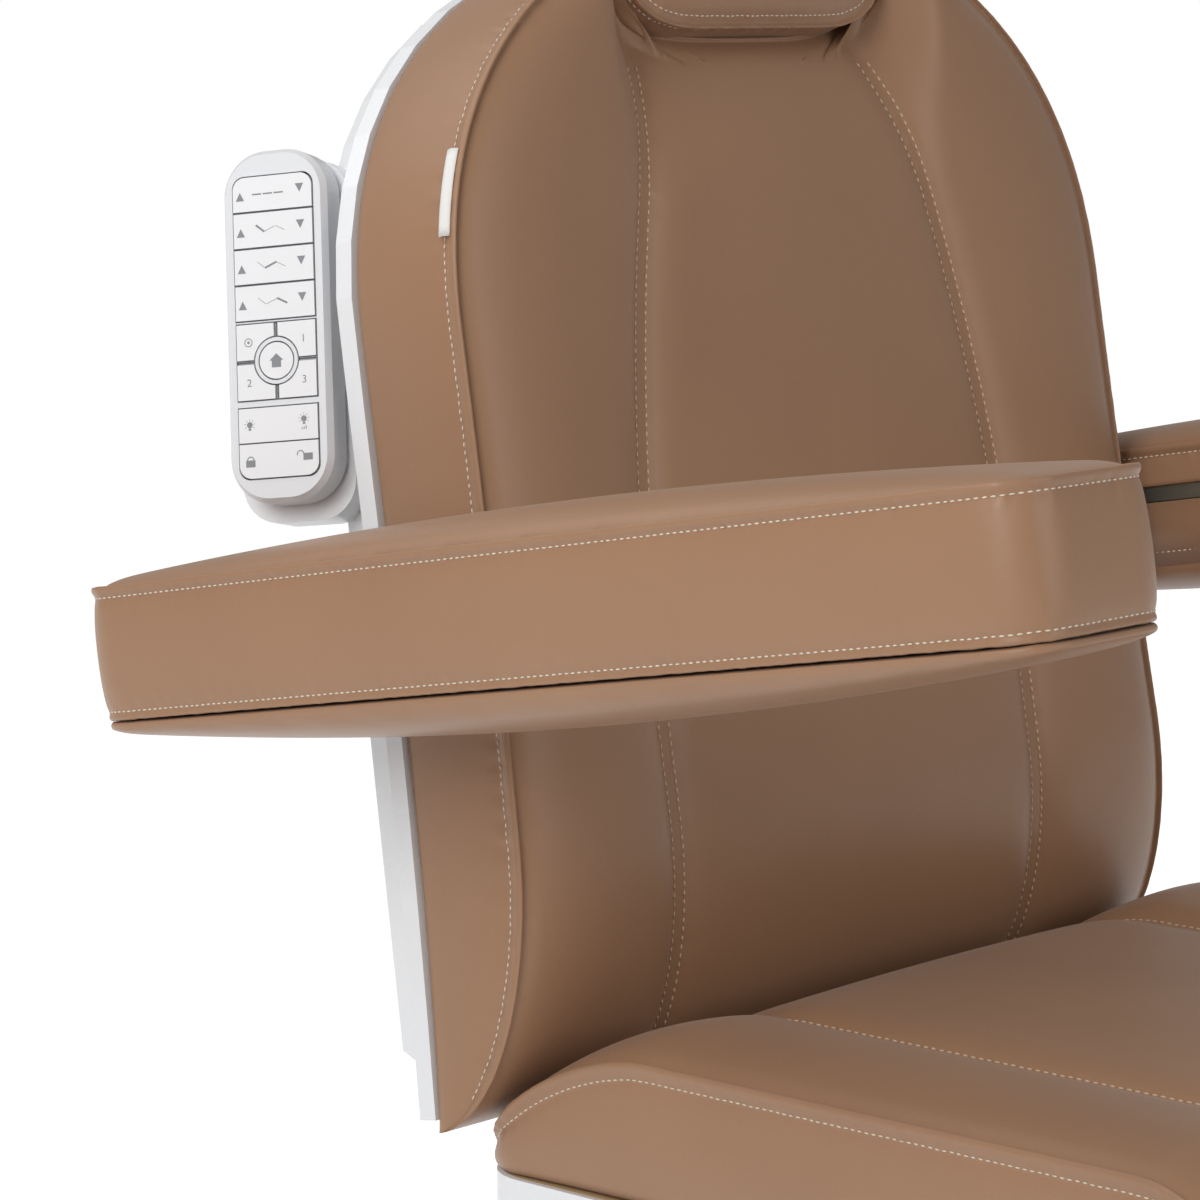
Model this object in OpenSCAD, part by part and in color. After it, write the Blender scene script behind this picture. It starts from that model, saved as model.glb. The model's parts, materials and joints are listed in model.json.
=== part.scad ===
// Electric treatment chair with a telescoping column, powered height, back, seat and leg
// movements, swinging armrests, a sliding headrest and a keypad hung on the backrest.
// Millimetres, +Z up. The feet of the person lie towards -Y and the person's right hand
// towards -X. The origin is on the floor, below the middle of the chair.

/* [Backrest] */
// Width of the backrest across its straight sides
back_w = 574; // [540:1:600]
// How much each side widens towards the foot of the backrest
back_flare = 17; // [0:1:24]
// Height up the backrest at which its rounded head begins
back_straight = 440; // [420:5:460]
// Height up the backrest of its rounded top
back_top = 666; // [655:1:690]
// Gap from the seat's level to the foot of the backrest
back_gap = 25; // [20:1:32]
// Lean of the raised backrest from upright, in degrees
back_lean = 9.8; // [5:0.1:15]
// Thickness of the white rim of the backrest
rim_t = 12; // [8:0.5:14]
// Depth of the moulded shell behind the rim
dome_d = 60; // [56:1:70]
// Thickness of the backrest padding at its front seam
back_pad_t = 79; // [60:1:85]
// Half distance between the sewn seams at the foot of the backrest
back_seam_x = 166; // [140:1:180]
// How far each seam leans inward towards the head
back_seam_in = 75; // [40:1:80]
// Travel of the backrest from upright to flat, in degrees
recline = 80; // [60:1:80]

/* [Seat] */
// Height of the seat's board above the floor
seat_z = 500; // [490:5:560]
// Distance of the backrest's foot behind the origin
back_y = 325; // [315:1:335]
// Length of the seat padding
seat_l = 500; // [480:5:520]
// Width of the seat padding
seat_w = 580; // [560:1:588]
// Thickness of the seat padding at its side seam
seat_pad_t = 77; // [60:1:85]
// Distance from the backrest's foot forward to the seat padding
seat_set = 14; // [10:1:20]
// Depth of the moulded trays below the padding
tray_d = 42; // [40:1:46]
// Travel of the seat's tilt, in degrees
seat_tilt = 12; // [6:1:12]

/* [Leg rest] */
// Length of the leg padding
leg_l = 460; // [400:5:470]
// Width of the leg padding at its foot end
leg_foot_w = 500; // [440:5:580]
// How far the leg rest hangs below level, in degrees
leg_drop = 65; // [50:1:68]

/* [Armrests] */
// Length of an armrest
arm_l = 635; // [560:5:660]
// Width of an armrest
arm_w = 110; // [96:1:124]
// Distance of an armrest's inner face from the middle of the chair
arm_x = 310; // [308:1:330]
// Height of the lower armrest seam up the backrest
arm_s = 265; // [250:1:280]
// Height of an armrest's side panel between its seams
arm_h = 63; // [56:1:72]
// Height of the crown of an armrest's top
arm_crown = 17; // [8:1:22]
// Depth of the belly of an armrest's underside
arm_belly = 22; // [10:1:24]
// How far an armrest reaches behind the backrest's rim
arm_rear = 105; // [85:1:110]

/* [Headrest] */
// Width of the headrest, and of the notch that it sits in
head_w = 250; // [220:1:264]
// Length of the headrest
head_l = 205; // [180:1:230]
// Height up the backrest of the bottom of the notch
notch_s = 590; // [580:1:604]
// Travel of the headrest up the backrest
head_travel = 90; // [60:1:100]

/* [Keypad] */
// Width of the keypad
pad_w = 62; // [58:1:70]
// Length of the keypad
pad_l = 194; // [190:1:204]
// Thickness of the keypad
pad_t = 24; // [22:1:30]
// Width of a rocker key
key_w = 48; // [44:0.5:48]
// Height of a row of keys
row_h = 19.6; // [18:0.1:19.6]

/* [Base and column] */
// Length of the base cover
base_l = 760; // [720:5:790]
// Width of the base cover
base_w = 560; // [520:5:600]
// Height of the top of the base cover
base_h = 105; // [96:1:110]
// Side of the outer column tube
column_w = 170; // [160:1:172]
// Travel of the lift
lift = 300; // [200:5:300]

/* [Hidden] */

// Shared clearances, walls and cutting overrun
run_gap = 0.05;
soft_gap = 0.3;
side_gap = 0.5;
over = 1;
wall = 3.5;
tube_wall = 2.5;
plate_t = 8;
board_t = 12;
round_fn = 48;
hull_fn = 32;

// Frame tubes and hinges
rail_x = 200;
rail_w = 20;
rail_h = 28;
rail_drop = 2;
cross_w = 30;
upright_x = 180;
upright_w = 16;
upright_d = 30;
cross_d = 16;
hinge_r = 8;
hinge_boss_r = 16;
axis_t = -12;
axis_s = -13;
frame_foot = 62;
frame_head = 598;

// Places that follow from the seat and the lean
seat_front_y = back_y - seat_set - seat_l;
column_y = back_y - seat_set - seat_l / 2;
pivot_y = back_y - axis_t * cos(back_lean) + axis_s * sin(back_lean);
pivot_z = seat_z + axis_t * sin(back_lean) + axis_s * cos(back_lean);
frame_top = seat_z - board_t - rail_drop;
frame_low = frame_top - rail_h;
leg_axis_ahead = 14;
leg_axis_drop = 45;
leg_axis_y = seat_front_y - leg_axis_ahead;
leg_axis_z = seat_z - leg_axis_drop;

// Places the children at the backrest: x across, y up the back and z forward of the board.
module on_back() translate([0, back_y, seat_z]) rotate([90 - back_lean, 0, 0]) children();

// Hangs what is drawn for a level leg rest down to its lowered place.
module on_leg() {
    translate([0, leg_axis_y, leg_axis_z])
        rotate([leg_drop, 0, 0])
            translate([0, -leg_axis_y, -leg_axis_z])
                children();
}

// Draws the children at each side of the chair.
module both_sides() for (side = [0, 1]) mirror([side, 0, 0]) children();

// A flat outline with round corners, centred on the origin.
module rounded_rect(w, l, r) {
    square([w - 2 * r, l], center = true);
    square([w, l - 2 * r], center = true);
    for (x = [-1, 1], y = [-1, 1])
        translate([x * (w / 2 - r), y * (l / 2 - r)]) circle(r, $fn = round_fn);
}

// A round bar along x, from x0 to x1 at the given place.
module bar_x(x0, x1, y, z, r) {
    translate([x0, y, z]) rotate([0, 90, 0]) cylinder(r = r, h = x1 - x0, $fn = round_fn);
}

// A box between two corners.
module block(from, to) translate(from) cube(to - from);

// How far a soft edge has risen at distance d from its end, as a share of its full height.
function rise(d, reach, power) =
    d >= reach ? 1 : pow(1 - pow(1 - max(d, 0) / reach, power), 1 / power);

// Joins rings of equal length into one closed skin, with a flat lid at each end.
module skin(rings) {
    n = len(rings[0]);
    last = len(rings) - 1;
    sides = [
        for (k = [0 : last - 1], i = [0 : n - 1], half = [0, 1])
            let (a = k * n + i, b = k * n + (i + 1) % n)
                half == 0 ? [a, a + n, b + n] : [a, b + n, b]
    ];
    lids = [[for (i = [0 : n - 1]) i], [for (i = [n - 1 : -1 : 0]) last * n + i]];
    polyhedron([for (ring = rings) each ring], concat(sides, lids));
}

// Padding with a middle panel between two raised bolsters. A half section runs from the
// middle of the panel out to the foot of the side panel.
seam_half = 5;
seam_depth = 5;
bolster_rise = 8;
side_pull = 3;
crease_shrink = 2;
welt_drop = 9;
side_in_share = 0.5;
bolster_shares = [[0.28, 0.7], [0.56, 1], [0.84, 0.62]];
function half_section(w, seam_x, front, side, crown) = let (span = w - seam_x) [
    [0, front],
    [seam_x * side_in_share, front],
    [seam_x - seam_half, front - seam_depth * side_in_share],
    [seam_x, front - seam_depth],
    [seam_x + seam_half, front - seam_depth * side_in_share],
    for (share = bolster_shares) [seam_x + span * share[0], front + crown * share[1]],
    [w - crease_shrink, max(side, seam_half)],
    [w, max(side - welt_drop, side * side_in_share)],
    [w - side_pull, side * side_in_share / 2],
    [w, soft_gap]
];
function mirrored(half) = concat(
    [for (i = [len(half) - 1 : -1 : 1]) [-half[i][0], half[i][1]]],
    half
);

// Outline of the backrest: half its width at height s, with a superellipse for the head.
head_power = 2.3;
flare_power = 2;
function back_half(s) = s < back_straight
    ? back_w / 2 + back_flare * pow(1 - s / back_straight, flare_power)
    : back_w / 2 * rise(back_top - s, back_top - back_straight, head_power);
seam_from = 200;
seam_to = 620;
seam_power = 2.1;
function seam_at(s) = min(
    back_seam_x - back_seam_in * pow(max(s - seam_from, 0) / (seam_to - seam_from), seam_power),
    0.6 * back_half(s)
);

// Heights up the backrest at which its outline has a point, closer together on the head.
head_angles = [for (a = [8 : 8 : 88]) a];
outline_step = 55;
function back_heights(from) = concat(
    [for (s = [from : outline_step : back_straight]) s],
    [for (a = head_angles) back_straight + (back_top - back_straight) * sin(a)]
);
function back_outline(inset) = let (
    heights = back_heights(back_gap + inset),
    side = [for (s = heights) [max(back_half(s) - inset, inset), min(s, back_top - inset)]]
) concat(side, [for (i = [len(side) - 1 : -1 : 0]) [-side[i][0], side[i][1]]]);

// The notch that the headrest sits in, open at the top.
notch_gap = 12;
notch_r = 80;
notch_power = 2.6;
notch_angles = [for (a = [0 : 10 : 180]) a];
function notch_outline() = let (half = head_w / 2 + notch_gap) concat(
    [[-half, back_top + notch_r], [half, back_top + notch_r]],
    [for (a = notch_angles)
        let (c = cos(a), across = (c < 0 ? -1 : 1) * pow(abs(c), 2 / notch_power))
            [half * across, notch_s + notch_r * (1 - pow(sin(a), 2 / notch_power))]]
);

// Padding of the backrest, rolled in under its foot and notched for the headrest.
foot_reach = 150;
foot_power = 1.9;
foot_round = 14;
foot_belly = 7;
panel_rise = 3;
pad_inset = 1.5;
bolster_h = 12;
dip_from = 500;
dip = 24;
foot_shares = [0.004, 0.03, 0.08, 0.15, 0.26, 0.42, 0.64, 0.86];
module back_cushion() {
    foot = back_gap - foot_belly;
    heights = concat(
        [for (share = foot_shares) foot + foot_reach * share],
        [for (s = [foot + foot_reach : outline_step : back_straight]) s],
        [for (a = head_angles) back_straight + (back_top - back_straight) * sin(a)]
    );
    rings = [
        for (s = heights) let (
            grown = rise(s - foot, foot_reach, foot_power),
            w = back_half(s) - pad_inset - foot_round * (1 - rise(s - foot, foot_round, 2)),
            dent = dip * pow(max(s - dip_from, 0) / (notch_s - dip_from), 2),
            front = (back_pad_t + panel_rise) * grown - min(dent, dip),
            half = half_section(w, seam_at(s), front, back_pad_t * grown, bolster_h * grown)
        ) [for (p = mirrored(half)) [p[0], s, max(p[1], soft_gap)]]
    ];
    color("#9c755a") on_back() difference() {
        skin(rings);
        translate([0, 0, -over]) linear_extrude(back_pad_t * 2) polygon(notch_outline());
    }
}

// Moulded shell of the backrest: a rim plate with a window for the board, and a hollow back.
window_inset = 40;
fit_gap = 0.5;
dome_step = 18;
dome_edge = 18;
dome_soft = 32;
dome_back = 58;
module dome(inset) hull() {
    for (step = [[0, dome_edge], [dome_d - dome_step, dome_soft], [dome_d, dome_back]])
        translate([0, 0, -rim_t - step[0] + (step[0] > 0 ? inset : 0)])
            linear_extrude(over) polygon(back_outline(step[1] + inset));
}
arm_axle_t = -50;
arm_axle_up = 37;
arm_axle_s = arm_s + arm_axle_up;
arm_axle_r = 12;
rod_x = 55;
rod_r = 7;
rod_t = -39;
head_axis_s = 690;
module back_shell() {
    slot = plate_t + 4 * side_gap;
    color("#e6e7ea") on_back() difference() {
        union() {
            translate([0, 0, -rim_t]) linear_extrude(rim_t) polygon(back_outline(0));
            dome(0);
        }
        difference() {
            dome(wall);
            translate([0, 0, -rim_t]) linear_extrude(rim_t + over) polygon(back_outline(0));
        }
        translate([0, 0, -rim_t - over]) linear_extrude(rim_t + 2 * over)
            polygon(back_outline(window_inset));
        both_sides() {
            block([upright_x + side_gap, 0, -dome_d],
                  [upright_x + side_gap + slot, frame_foot + cross_w, over]);
            translate([rod_x, back_straight, rod_t]) rotate([-90, 0, 0])
                cylinder(r = rod_r + over, h = back_top, $fn = round_fn);
        }
        block([crank_x - crank_cut, 0, -rim_t - dome_d], [crank_x + crank_cut, frame_foot, -rim_t + over]);
        bar_x(-back_w, back_w, arm_axle_s, arm_axle_t, arm_axle_r + over);
    }
}

module back_board() {
    color("#c9ab7c") on_back() translate([0, 0, -rim_t])
        linear_extrude(rim_t) polygon(back_outline(window_inset + fit_gap));
}

// Steel frame of the backrest, with the hinge ears and the slotted crank of its drive.
crank_x = 130;
crank_h = 76;
crank_half = recline / 2;
crank_pin_r = 6;
crank_slack = 4.5;
cheek_x = 8.5;
crank_cut = cheek_x + plate_t + 2 * side_gap;
module cheek_pair(x, gap, thick) for (s = [-1, 1])
    translate([x + s * (gap + thick / 2) - thick / 2, 0, 0]) children();
// A slotted crank plate, drawn across x. Its children join it as flat shapes of y and z.
module crank(h, half_angle, tilt) {
    reach = h / cos(half_angle);
    slot_r = crank_pin_r + crank_slack;
    arm = slot_r + plate_t / 2;
    rotate([90, 0, 90]) linear_extrude(plate_t) difference() {
        union() {
            circle(hinge_boss_r, $fn = round_fn);
            rotate(tilt) translate([-arm, -reach - arm]) square([2 * arm, reach + arm]);
            children();
        }
        rotate(tilt) {
            translate([-slot_r, -reach]) square([2 * slot_r, reach - h]);
            for (y = [-h, -reach]) translate([0, y]) circle(slot_r, $fn = round_fn);
        }
    }
}
module back_frame() {
    back_t = -rim_t;
    color("#4a4d52") {
        on_back() {
            both_sides() difference() {
                union() {
                    block([upright_x - upright_w / 2, frame_foot, back_t - upright_d],
                          [upright_x + upright_w / 2, frame_head - cross_w, back_t]);
                    block([upright_x - upright_w / 2, arm_axle_s - cross_w / 2, arm_axle_t - cross_w / 2],
                          [upright_x + upright_w / 2, arm_axle_s + cross_w / 2, back_t]);
                    block([upright_x + side_gap * 3, axis_s, axis_t - hinge_boss_r],
                          [upright_x + side_gap * 3 + plate_t, frame_foot + cross_w, axis_t]);
                    bar_x(upright_x + side_gap * 3, upright_x + side_gap * 3 + plate_t,
                          axis_s, axis_t, hinge_boss_r);
                }
                bar_x(0, rail_x, axis_s, axis_t, hinge_r + run_gap);
                bar_x(0, rail_x, arm_axle_s, arm_axle_t, arm_axle_r);
            }
            for (s = [frame_foot, arm_axle_s - cross_w * 2, frame_head - 2 * cross_w])
                block([-upright_x, s, back_t - cross_d], [upright_x, s + cross_w, back_t]);
        }
        translate([0, pivot_y, pivot_z]) cheek_pair(crank_x, cheek_x, plate_t)
            crank(crank_h, crank_half, crank_half)
                rotate(-back_lean) translate([0, -plate_t / 2])
                    square([hinge_boss_r - over, frame_foot + cross_w - axis_s]);
    }
}
module armrest_axle() {
    color("#b9bcc0") on_back() difference() {
        bar_x(-arm_x, arm_x, arm_axle_s, arm_axle_t, arm_axle_r);
        bar_x(-arm_x - over, arm_x + over, arm_axle_s, arm_axle_t, arm_axle_r - tube_wall);
    }
}

// Headrest: two rods in sleeves, a cross bar that it tilts on, a board and a pillow.
sleeve_from = 500;
sleeve_l = 130;
sleeve_wall = 4;
rod_grip = 20;
rod_foot = sleeve_from + sleeve_l - rod_grip - head_travel;
head_bar_r = 8;
strap_x = 40;
strap_w = 6;
head_board_t = 8;
head_lift = 3;
head_board_inset = 22;
module on_rod(x) translate([x, 0, rod_t]) rotate([-90, 0, 0]) children();
module headrest_sleeves() {
    block_w = 2 * (rod_r + sleeve_wall);
    color("#b9bcc0") on_back() for (x = [-rod_x, rod_x]) difference() {
        union() {
            on_rod(x) translate([0, 0, sleeve_from])
                cylinder(r = rod_r + sleeve_wall, h = sleeve_l, $fn = round_fn);
            block([x - block_w / 2, frame_head - 2 * cross_w, rod_t],
                  [x + block_w / 2, frame_head - cross_w, -rim_t - cross_d]);
        }
        on_rod(x) translate([0, 0, sleeve_from - over])
            cylinder(r = rod_r + run_gap, h = sleeve_l + 2 * over, $fn = round_fn);
    }
}
module headrest_rods() {
    color("#b9bcc0") on_back() {
        for (x = [-rod_x, rod_x]) on_rod(x) translate([0, 0, rod_foot])
            cylinder(r = rod_r, h = head_axis_s - rod_foot, $fn = round_fn);
        bar_x(-rod_x - rod_r, rod_x + rod_r, head_axis_s, rod_t, head_bar_r);
    }
}
module headrest_bracket() {
    lug_r = head_bar_r + sleeve_wall;
    color("#4a4d52") on_back() for (x = [-strap_x, strap_x]) difference() {
        union() {
            block([x - strap_w / 2, head_axis_s - lug_r, rod_t],
                  [x + strap_w / 2, head_axis_s + lug_r, head_lift]);
            bar_x(x - strap_w / 2, x + strap_w / 2, head_axis_s, rod_t, lug_r);
            block([x - strap_w * 2, head_axis_s - lug_r, head_lift - strap_w / 2],
                  [x + strap_w * 2, head_axis_s + lug_r * 3, head_lift]);
        }
        bar_x(x - strap_w, x + strap_w, head_axis_s, rod_t, head_bar_r + run_gap);
    }
}
head_foot = notch_s + notch_gap;
head_top_r = 60;
function head_half(s) = head_w / 2 * min(
    rise(s - head_foot, notch_r, notch_power),
    rise(head_foot + head_l - s, head_top_r, notch_power)
);
function head_heights() = concat(
    [for (a = [12 : 13 : 90]) head_foot + notch_r * (1 - cos(a))],
    [head_foot + head_l / 2],
    [for (a = [90 : -13 : 12]) head_foot + head_l - head_top_r * (1 - cos(a))]
);
module headrest_board() {
    side = [for (s = head_heights()) [max(head_half(s) - head_board_inset, head_board_inset),
        min(max(s, head_foot + head_board_inset), head_foot + head_l - head_board_inset)]];
    outline = concat(side, [for (i = [len(side) - 1 : -1 : 0]) [-side[i][0], side[i][1]]]);
    color("#c9ab7c") on_back() translate([0, 0, head_lift])
        linear_extrude(head_board_t) polygon(outline);
}
head_side_t = 73;
head_crown = 15;
head_edge = 26;
head_section_shares = [[0, 1], [0.35, 0.94], [0.66, 0.66], [0.88, 0.22]];
module headrest_cushion() {
    base_t = head_lift + head_board_t + soft_gap;
    rings = [
        for (s = head_heights()) let (
            w = head_half(s),
            end = min(s - head_foot, head_foot + head_l - s),
            grown = rise(end, head_edge, 2),
            side = base_t + (head_side_t - base_t) * (0.5 + 0.5 * grown),
            half = [
                for (share = head_section_shares) [w * share[0], side + head_crown * grown * share[1]],
                [w - crease_shrink, side],
                [w, side - welt_drop],
                [w - side_pull, (side + base_t) / 2],
                [w, base_t + side_pull],
                [w - side_pull, base_t]
            ]
        ) [for (p = mirrored(half)) [p[0], s, p[1]]]
    ];
    color("#9c755a") on_back() skin(rings);
}

// Armrests, drawn for the side of -X and mirrored for the other. Lengths run along t.
arm_slot = 10;
arm_lip = 44;
bar_t = 9.4;
arm_skirt = 32;
hub_out = 297;
hub_w = 12;
hub_r = 20;
arm_end_r = 34;
arm_end_power = 2.4;
bar_front_inset = 60;
arm_t_shares = [0.0015, 0.012, 0.035, 0.07, 0.13, 0.22, 0.34, 0.5, 0.66, 0.78, 0.87, 0.93,
                0.965, 0.988, 0.9985];
function arm_end(share) = let (d = min(share, 1 - share) * arm_l)
    arm_end_r * (1 - rise(d, arm_end_r, arm_end_power));
// Turns a section point, measured outward and up the backrest, into a place.
function arm_place(point, along) = [-arm_x - point[0], point[1], along * arm_l - arm_rear];
function arm_arch(share) = pow(sin(180 * share), 0.7);
module arm_pad_form() {
    top = arm_s + arm_h;
    rings = [
        for (share = arm_t_shares) let (
            e = arm_end(share) / 2, c = arm_crown * arm_arch(share),
            right = arm_w - e, left = e
        ) [
            for (p = [
                [left, arm_s + arm_lip + soft_gap],
                [left, top - crease_shrink],
                [left + arm_w * 0.2, top + c * 0.72],
                [arm_w * 0.5, top + c],
                [right - arm_w * 0.2, top + c * 0.72],
                [right, top],
                [right + crease_shrink, top - welt_drop],
                [right + crease_shrink, arm_s + welt_drop],
                [right, arm_s],
                [arm_w - arm_skirt, arm_s],
                [arm_w - arm_skirt, arm_s + arm_lip + soft_gap]
            ]) arm_place(p, share)
        ]
    ];
    skin(rings);
}
module arm_under_form() {
    inner = arm_s + arm_lip - arm_slot;
    rings = [
        for (share = arm_t_shares) let (
            e = arm_end(share) / 2, c = arm_belly * arm_arch(share),
            right = arm_w - e - crease_shrink, left = e + crease_shrink,
            step = arm_w - arm_skirt - side_gap
        ) [
            for (p = [
                [left + arm_w * 0.22, arm_s - c * 0.8],
                [left, arm_s - c * 0.2],
                [left - crease_shrink, arm_s + welt_drop],
                [left, inner - soft_gap],
                [step, inner - soft_gap],
                [step, arm_s - soft_gap],
                [right, arm_s - soft_gap],
                [right - arm_w * 0.2, arm_s - soft_gap - c * 0.8],
                [arm_w * 0.5, arm_s - soft_gap - c]
            ]) arm_place(p, share)
        ]
    ];
    skin(rings);
}
module arm_bar_form() {
    level = arm_s + arm_lip - arm_slot / 2;
    front = arm_l - arm_rear - bar_front_inset;
    deep = arm_x + arm_w - arm_skirt - side_gap * 2;
    difference() {
        union() {
            translate([0, level + bar_t / 2, 0]) rotate([90, 0, 0]) linear_extrude(bar_t)
                polygon([
                    [-hub_out, arm_axle_t], [-deep, arm_axle_t], [-deep, front - hub_r],
                    [-deep + hub_r, front], [-arm_x - wall, front], [-arm_x - wall, hub_r],
                    [-hub_out, 0]
                ]);
            bar_x(-hub_out - hub_w, -hub_out, arm_axle_s, arm_axle_t, hub_r);
        }
        bar_x(-hub_out - hub_w - over, -hub_out + over, arm_axle_s, arm_axle_t, arm_axle_r + run_gap);
    }
}
module armrest_pad_right() { color("#9c755a") on_back() arm_pad_form(); }
module armrest_pad_left() { color("#9c755a") on_back() mirror([1, 0, 0]) arm_pad_form(); }
module armrest_under_right() { color("#8a6650") on_back() arm_under_form(); }
module armrest_under_left() { color("#8a6650") on_back() mirror([1, 0, 0]) arm_under_form(); }
module armrest_arm_right() { color("#8d9088") on_back() arm_bar_form(); }
module armrest_arm_left() { color("#8d9088") on_back() mirror([1, 0, 0]) arm_bar_form(); }

// Padding of the seat and of the leg rest, rolled off at each end.
seat_rear_reach = 120;
seat_front_reach = 70;
seat_roll_power = 1.6;
seat_corner = 30;
leg_rear_reach = 50;
leg_foot_reach = 80;
leg_rear_gap = 16;
seat_shares = [0.002, 0.012, 0.03, 0.06, 0.1, 0.15, 0.21, 0.3, 0.42, 0.55, 0.68, 0.79, 0.87,
               0.92, 0.955, 0.98, 0.993, 0.999];
module padding(w_rear, w_front, length, rear_y, rear_reach, front_reach, seam_x) {
    rings = [
        for (i = [len(seat_shares) - 1 : -1 : 0]) let (
            share = seat_shares[i],
            d = share * length,
            grown = min(rise(d, rear_reach, seat_roll_power), rise(length - d, front_reach, 2)),
            cut = seat_corner * (1 - min(rise(d, seat_corner, 2), rise(length - d, seat_corner, 2))),
            w = (w_rear + (w_front - w_rear) * share) / 2 - cut,
            front = (seat_pad_t + panel_rise * 2) * grown,
            half = half_section(w, min(seam_x, w * 0.6), front, seat_pad_t * grown, bolster_h * grown)
        ) [for (p = mirrored(half)) [p[0], rear_y - d, seat_z + max(p[1], soft_gap)]]
    ];
    skin(rings);
}
module seat_cushion() {
    color("#9c755a") padding(seat_w, seat_w, seat_l, back_y - seat_set,
        seat_rear_reach, seat_front_reach, back_seam_x);
}
module leg_cushion() {
    color("#9c755a") on_leg() padding(seat_w, leg_foot_w, leg_l, leg_axis_y - leg_rear_gap,
        leg_rear_reach, leg_foot_reach, back_seam_x - seat_corner);
}

// Moulded trays below the padding: walls with a flange turned in below, open in the middle.
tray_lip = 4;
tray_r = 34;
tray_flange = 45;
drive_cut_x = 215;
module tray(w, l, cut_low) {
    difference() {
        linear_extrude(tray_d) rounded_rect(w, l, tray_r);
        translate([0, 0, wall]) linear_extrude(tray_d)
            rounded_rect(w - 2 * wall, l - 2 * wall, tray_r - wall);
        translate([0, 0, -over]) linear_extrude(tray_d)
            rounded_rect(w - 2 * tray_flange, l - 2 * tray_flange, tray_r);
        block([-drive_cut_x, -l, -over], [drive_cut_x, l, tray_d - cut_low]);
    }
}
module seat_shell() {
    color("#e6e7ea") translate([0, column_y, seat_z - tray_d])
        tray(seat_w + 2 * tray_lip, seat_l, tray_lip * 2);
}
module leg_shell() {
    color("#e6e7ea") on_leg()
        translate([0, leg_axis_y - leg_rear_gap - leg_l / 2, seat_z - tray_d])
            difference() {
                tray(leg_foot_w + 2 * tray_lip, leg_l, tray_lip * 2);
                block([-leg_foot_w, leg_l / 2 - tray_flange, -over],
                      [leg_foot_w, leg_l, tray_d - 2 * tray_lip]);
            }
}
module seat_board() {
    inset = wall + side_gap;
    color("#c9ab7c") translate([0, column_y, seat_z - board_t]) linear_extrude(board_t)
        rounded_rect(seat_w + 2 * (tray_lip - inset), seat_l - 2 * inset, tray_r - inset);
}
module leg_board() {
    inset = wall + side_gap;
    color("#c9ab7c") on_leg()
        translate([0, leg_axis_y - leg_rear_gap - leg_l / 2, seat_z - board_t])
            linear_extrude(board_t)
                rounded_rect(leg_foot_w + 2 * (tray_lip - inset), leg_l - 2 * inset, tray_r - inset);
}

// Seat frame: two rails between the hinges, cross tubes, tilt plates and actuator hangers.
front_cross_ahead = 156;
rear_cross_behind = 99;
front_cross_y = column_y - front_cross_ahead;
rear_cross_y = column_y + rear_cross_behind;
tilt_axis_drop = 80;
tilt_axis_z = seat_z - tilt_axis_drop;
tilt_axle_r = 10;
tilt_ear_x = 88;
tilt_boss_r = 22;
tilt_plate_x = 100;
tilt_pin_drop = 64;
tilt_pin_z = seat_z - tilt_pin_drop;
tilt_lug_x = 9;
lug_slack = 1;
leg_crank_h = 70;
leg_crank_x = -130;
back_line_z = pivot_z - crank_h;
leg_line_z = leg_axis_z - leg_crank_h;
actuator_r = 22;
rod_out_r = 10;
eye_r = 13;
eye_w = 16;
module hanger(x, y, low_z) difference() {
    union() {
        cheek_pair(x, eye_w / 2 + side_gap, plate_t) {
            block([0, y - eye_r, low_z], [plate_t, y + eye_r, frame_low + over]);
            bar_x(0, plate_t, y, low_z, eye_r);
        }
    }
    bar_x(x - eye_w * 2, x + eye_w * 2, y, low_z, crank_pin_r);
}
module saddle(x, y, line_z) {
    block([x - actuator_r, y - cross_w / 2, line_z + actuator_r - over],
          [x + actuator_r, y + cross_w / 2, frame_low + over]);
}
module seat_frame() {
    color("#4a4d52") {
        both_sides() difference() {
            union() {
                block([rail_x - rail_w / 2, leg_axis_y, frame_low], [rail_x + rail_w / 2, pivot_y, frame_top]);
                bar_x(rail_x - rail_w / 2, rail_x + rail_w / 2, pivot_y, pivot_z, hinge_boss_r);
                bar_x(rail_x - rail_w / 2, rail_x + rail_w / 2, leg_axis_y, leg_axis_z, hinge_boss_r);
            }
            bar_x(0, rail_x + rail_w, pivot_y, pivot_z, hinge_r);
            bar_x(0, rail_x + rail_w, leg_axis_y, leg_axis_z, hinge_r);
        }
        for (y = [front_cross_y, rear_cross_y])
            block([-rail_x, y - cross_w / 2, frame_low], [rail_x, y + cross_w / 2, frame_top]);
        both_sides() difference() {
            union() {
                block([tilt_plate_x, front_cross_y, frame_low],
                      [tilt_plate_x + plate_t, rear_cross_y, frame_top]);
                block([tilt_plate_x, column_y - tilt_boss_r, tilt_axis_z],
                      [tilt_plate_x + plate_t, column_y + tilt_boss_r, frame_low + over]);
                bar_x(tilt_plate_x, tilt_plate_x + plate_t, column_y, tilt_axis_z, tilt_boss_r);
            }
            bar_x(0, rail_x, column_y, tilt_axis_z, tilt_axle_r + run_gap);
        }
        hanger(0, front_cross_y, tilt_pin_z);
        hanger(crank_x, front_cross_y, back_line_z);
        hanger(leg_crank_x, rear_cross_y, leg_line_z);
        difference() {
            saddle(crank_x, rear_cross_y, back_line_z);
            translate([crank_x, 0, back_line_z]) rotate([-90, 0, 0])
                cylinder(r = actuator_r, h = seat_l, $fn = round_fn);
        }
        difference() {
            saddle(leg_crank_x, front_cross_y, leg_line_z);
            translate([leg_crank_x, -seat_l, leg_line_z]) rotate([-90, 0, 0])
                cylinder(r = actuator_r, h = 2 * seat_l, $fn = round_fn);
        }
    }
}
pin_head = 4;
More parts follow.
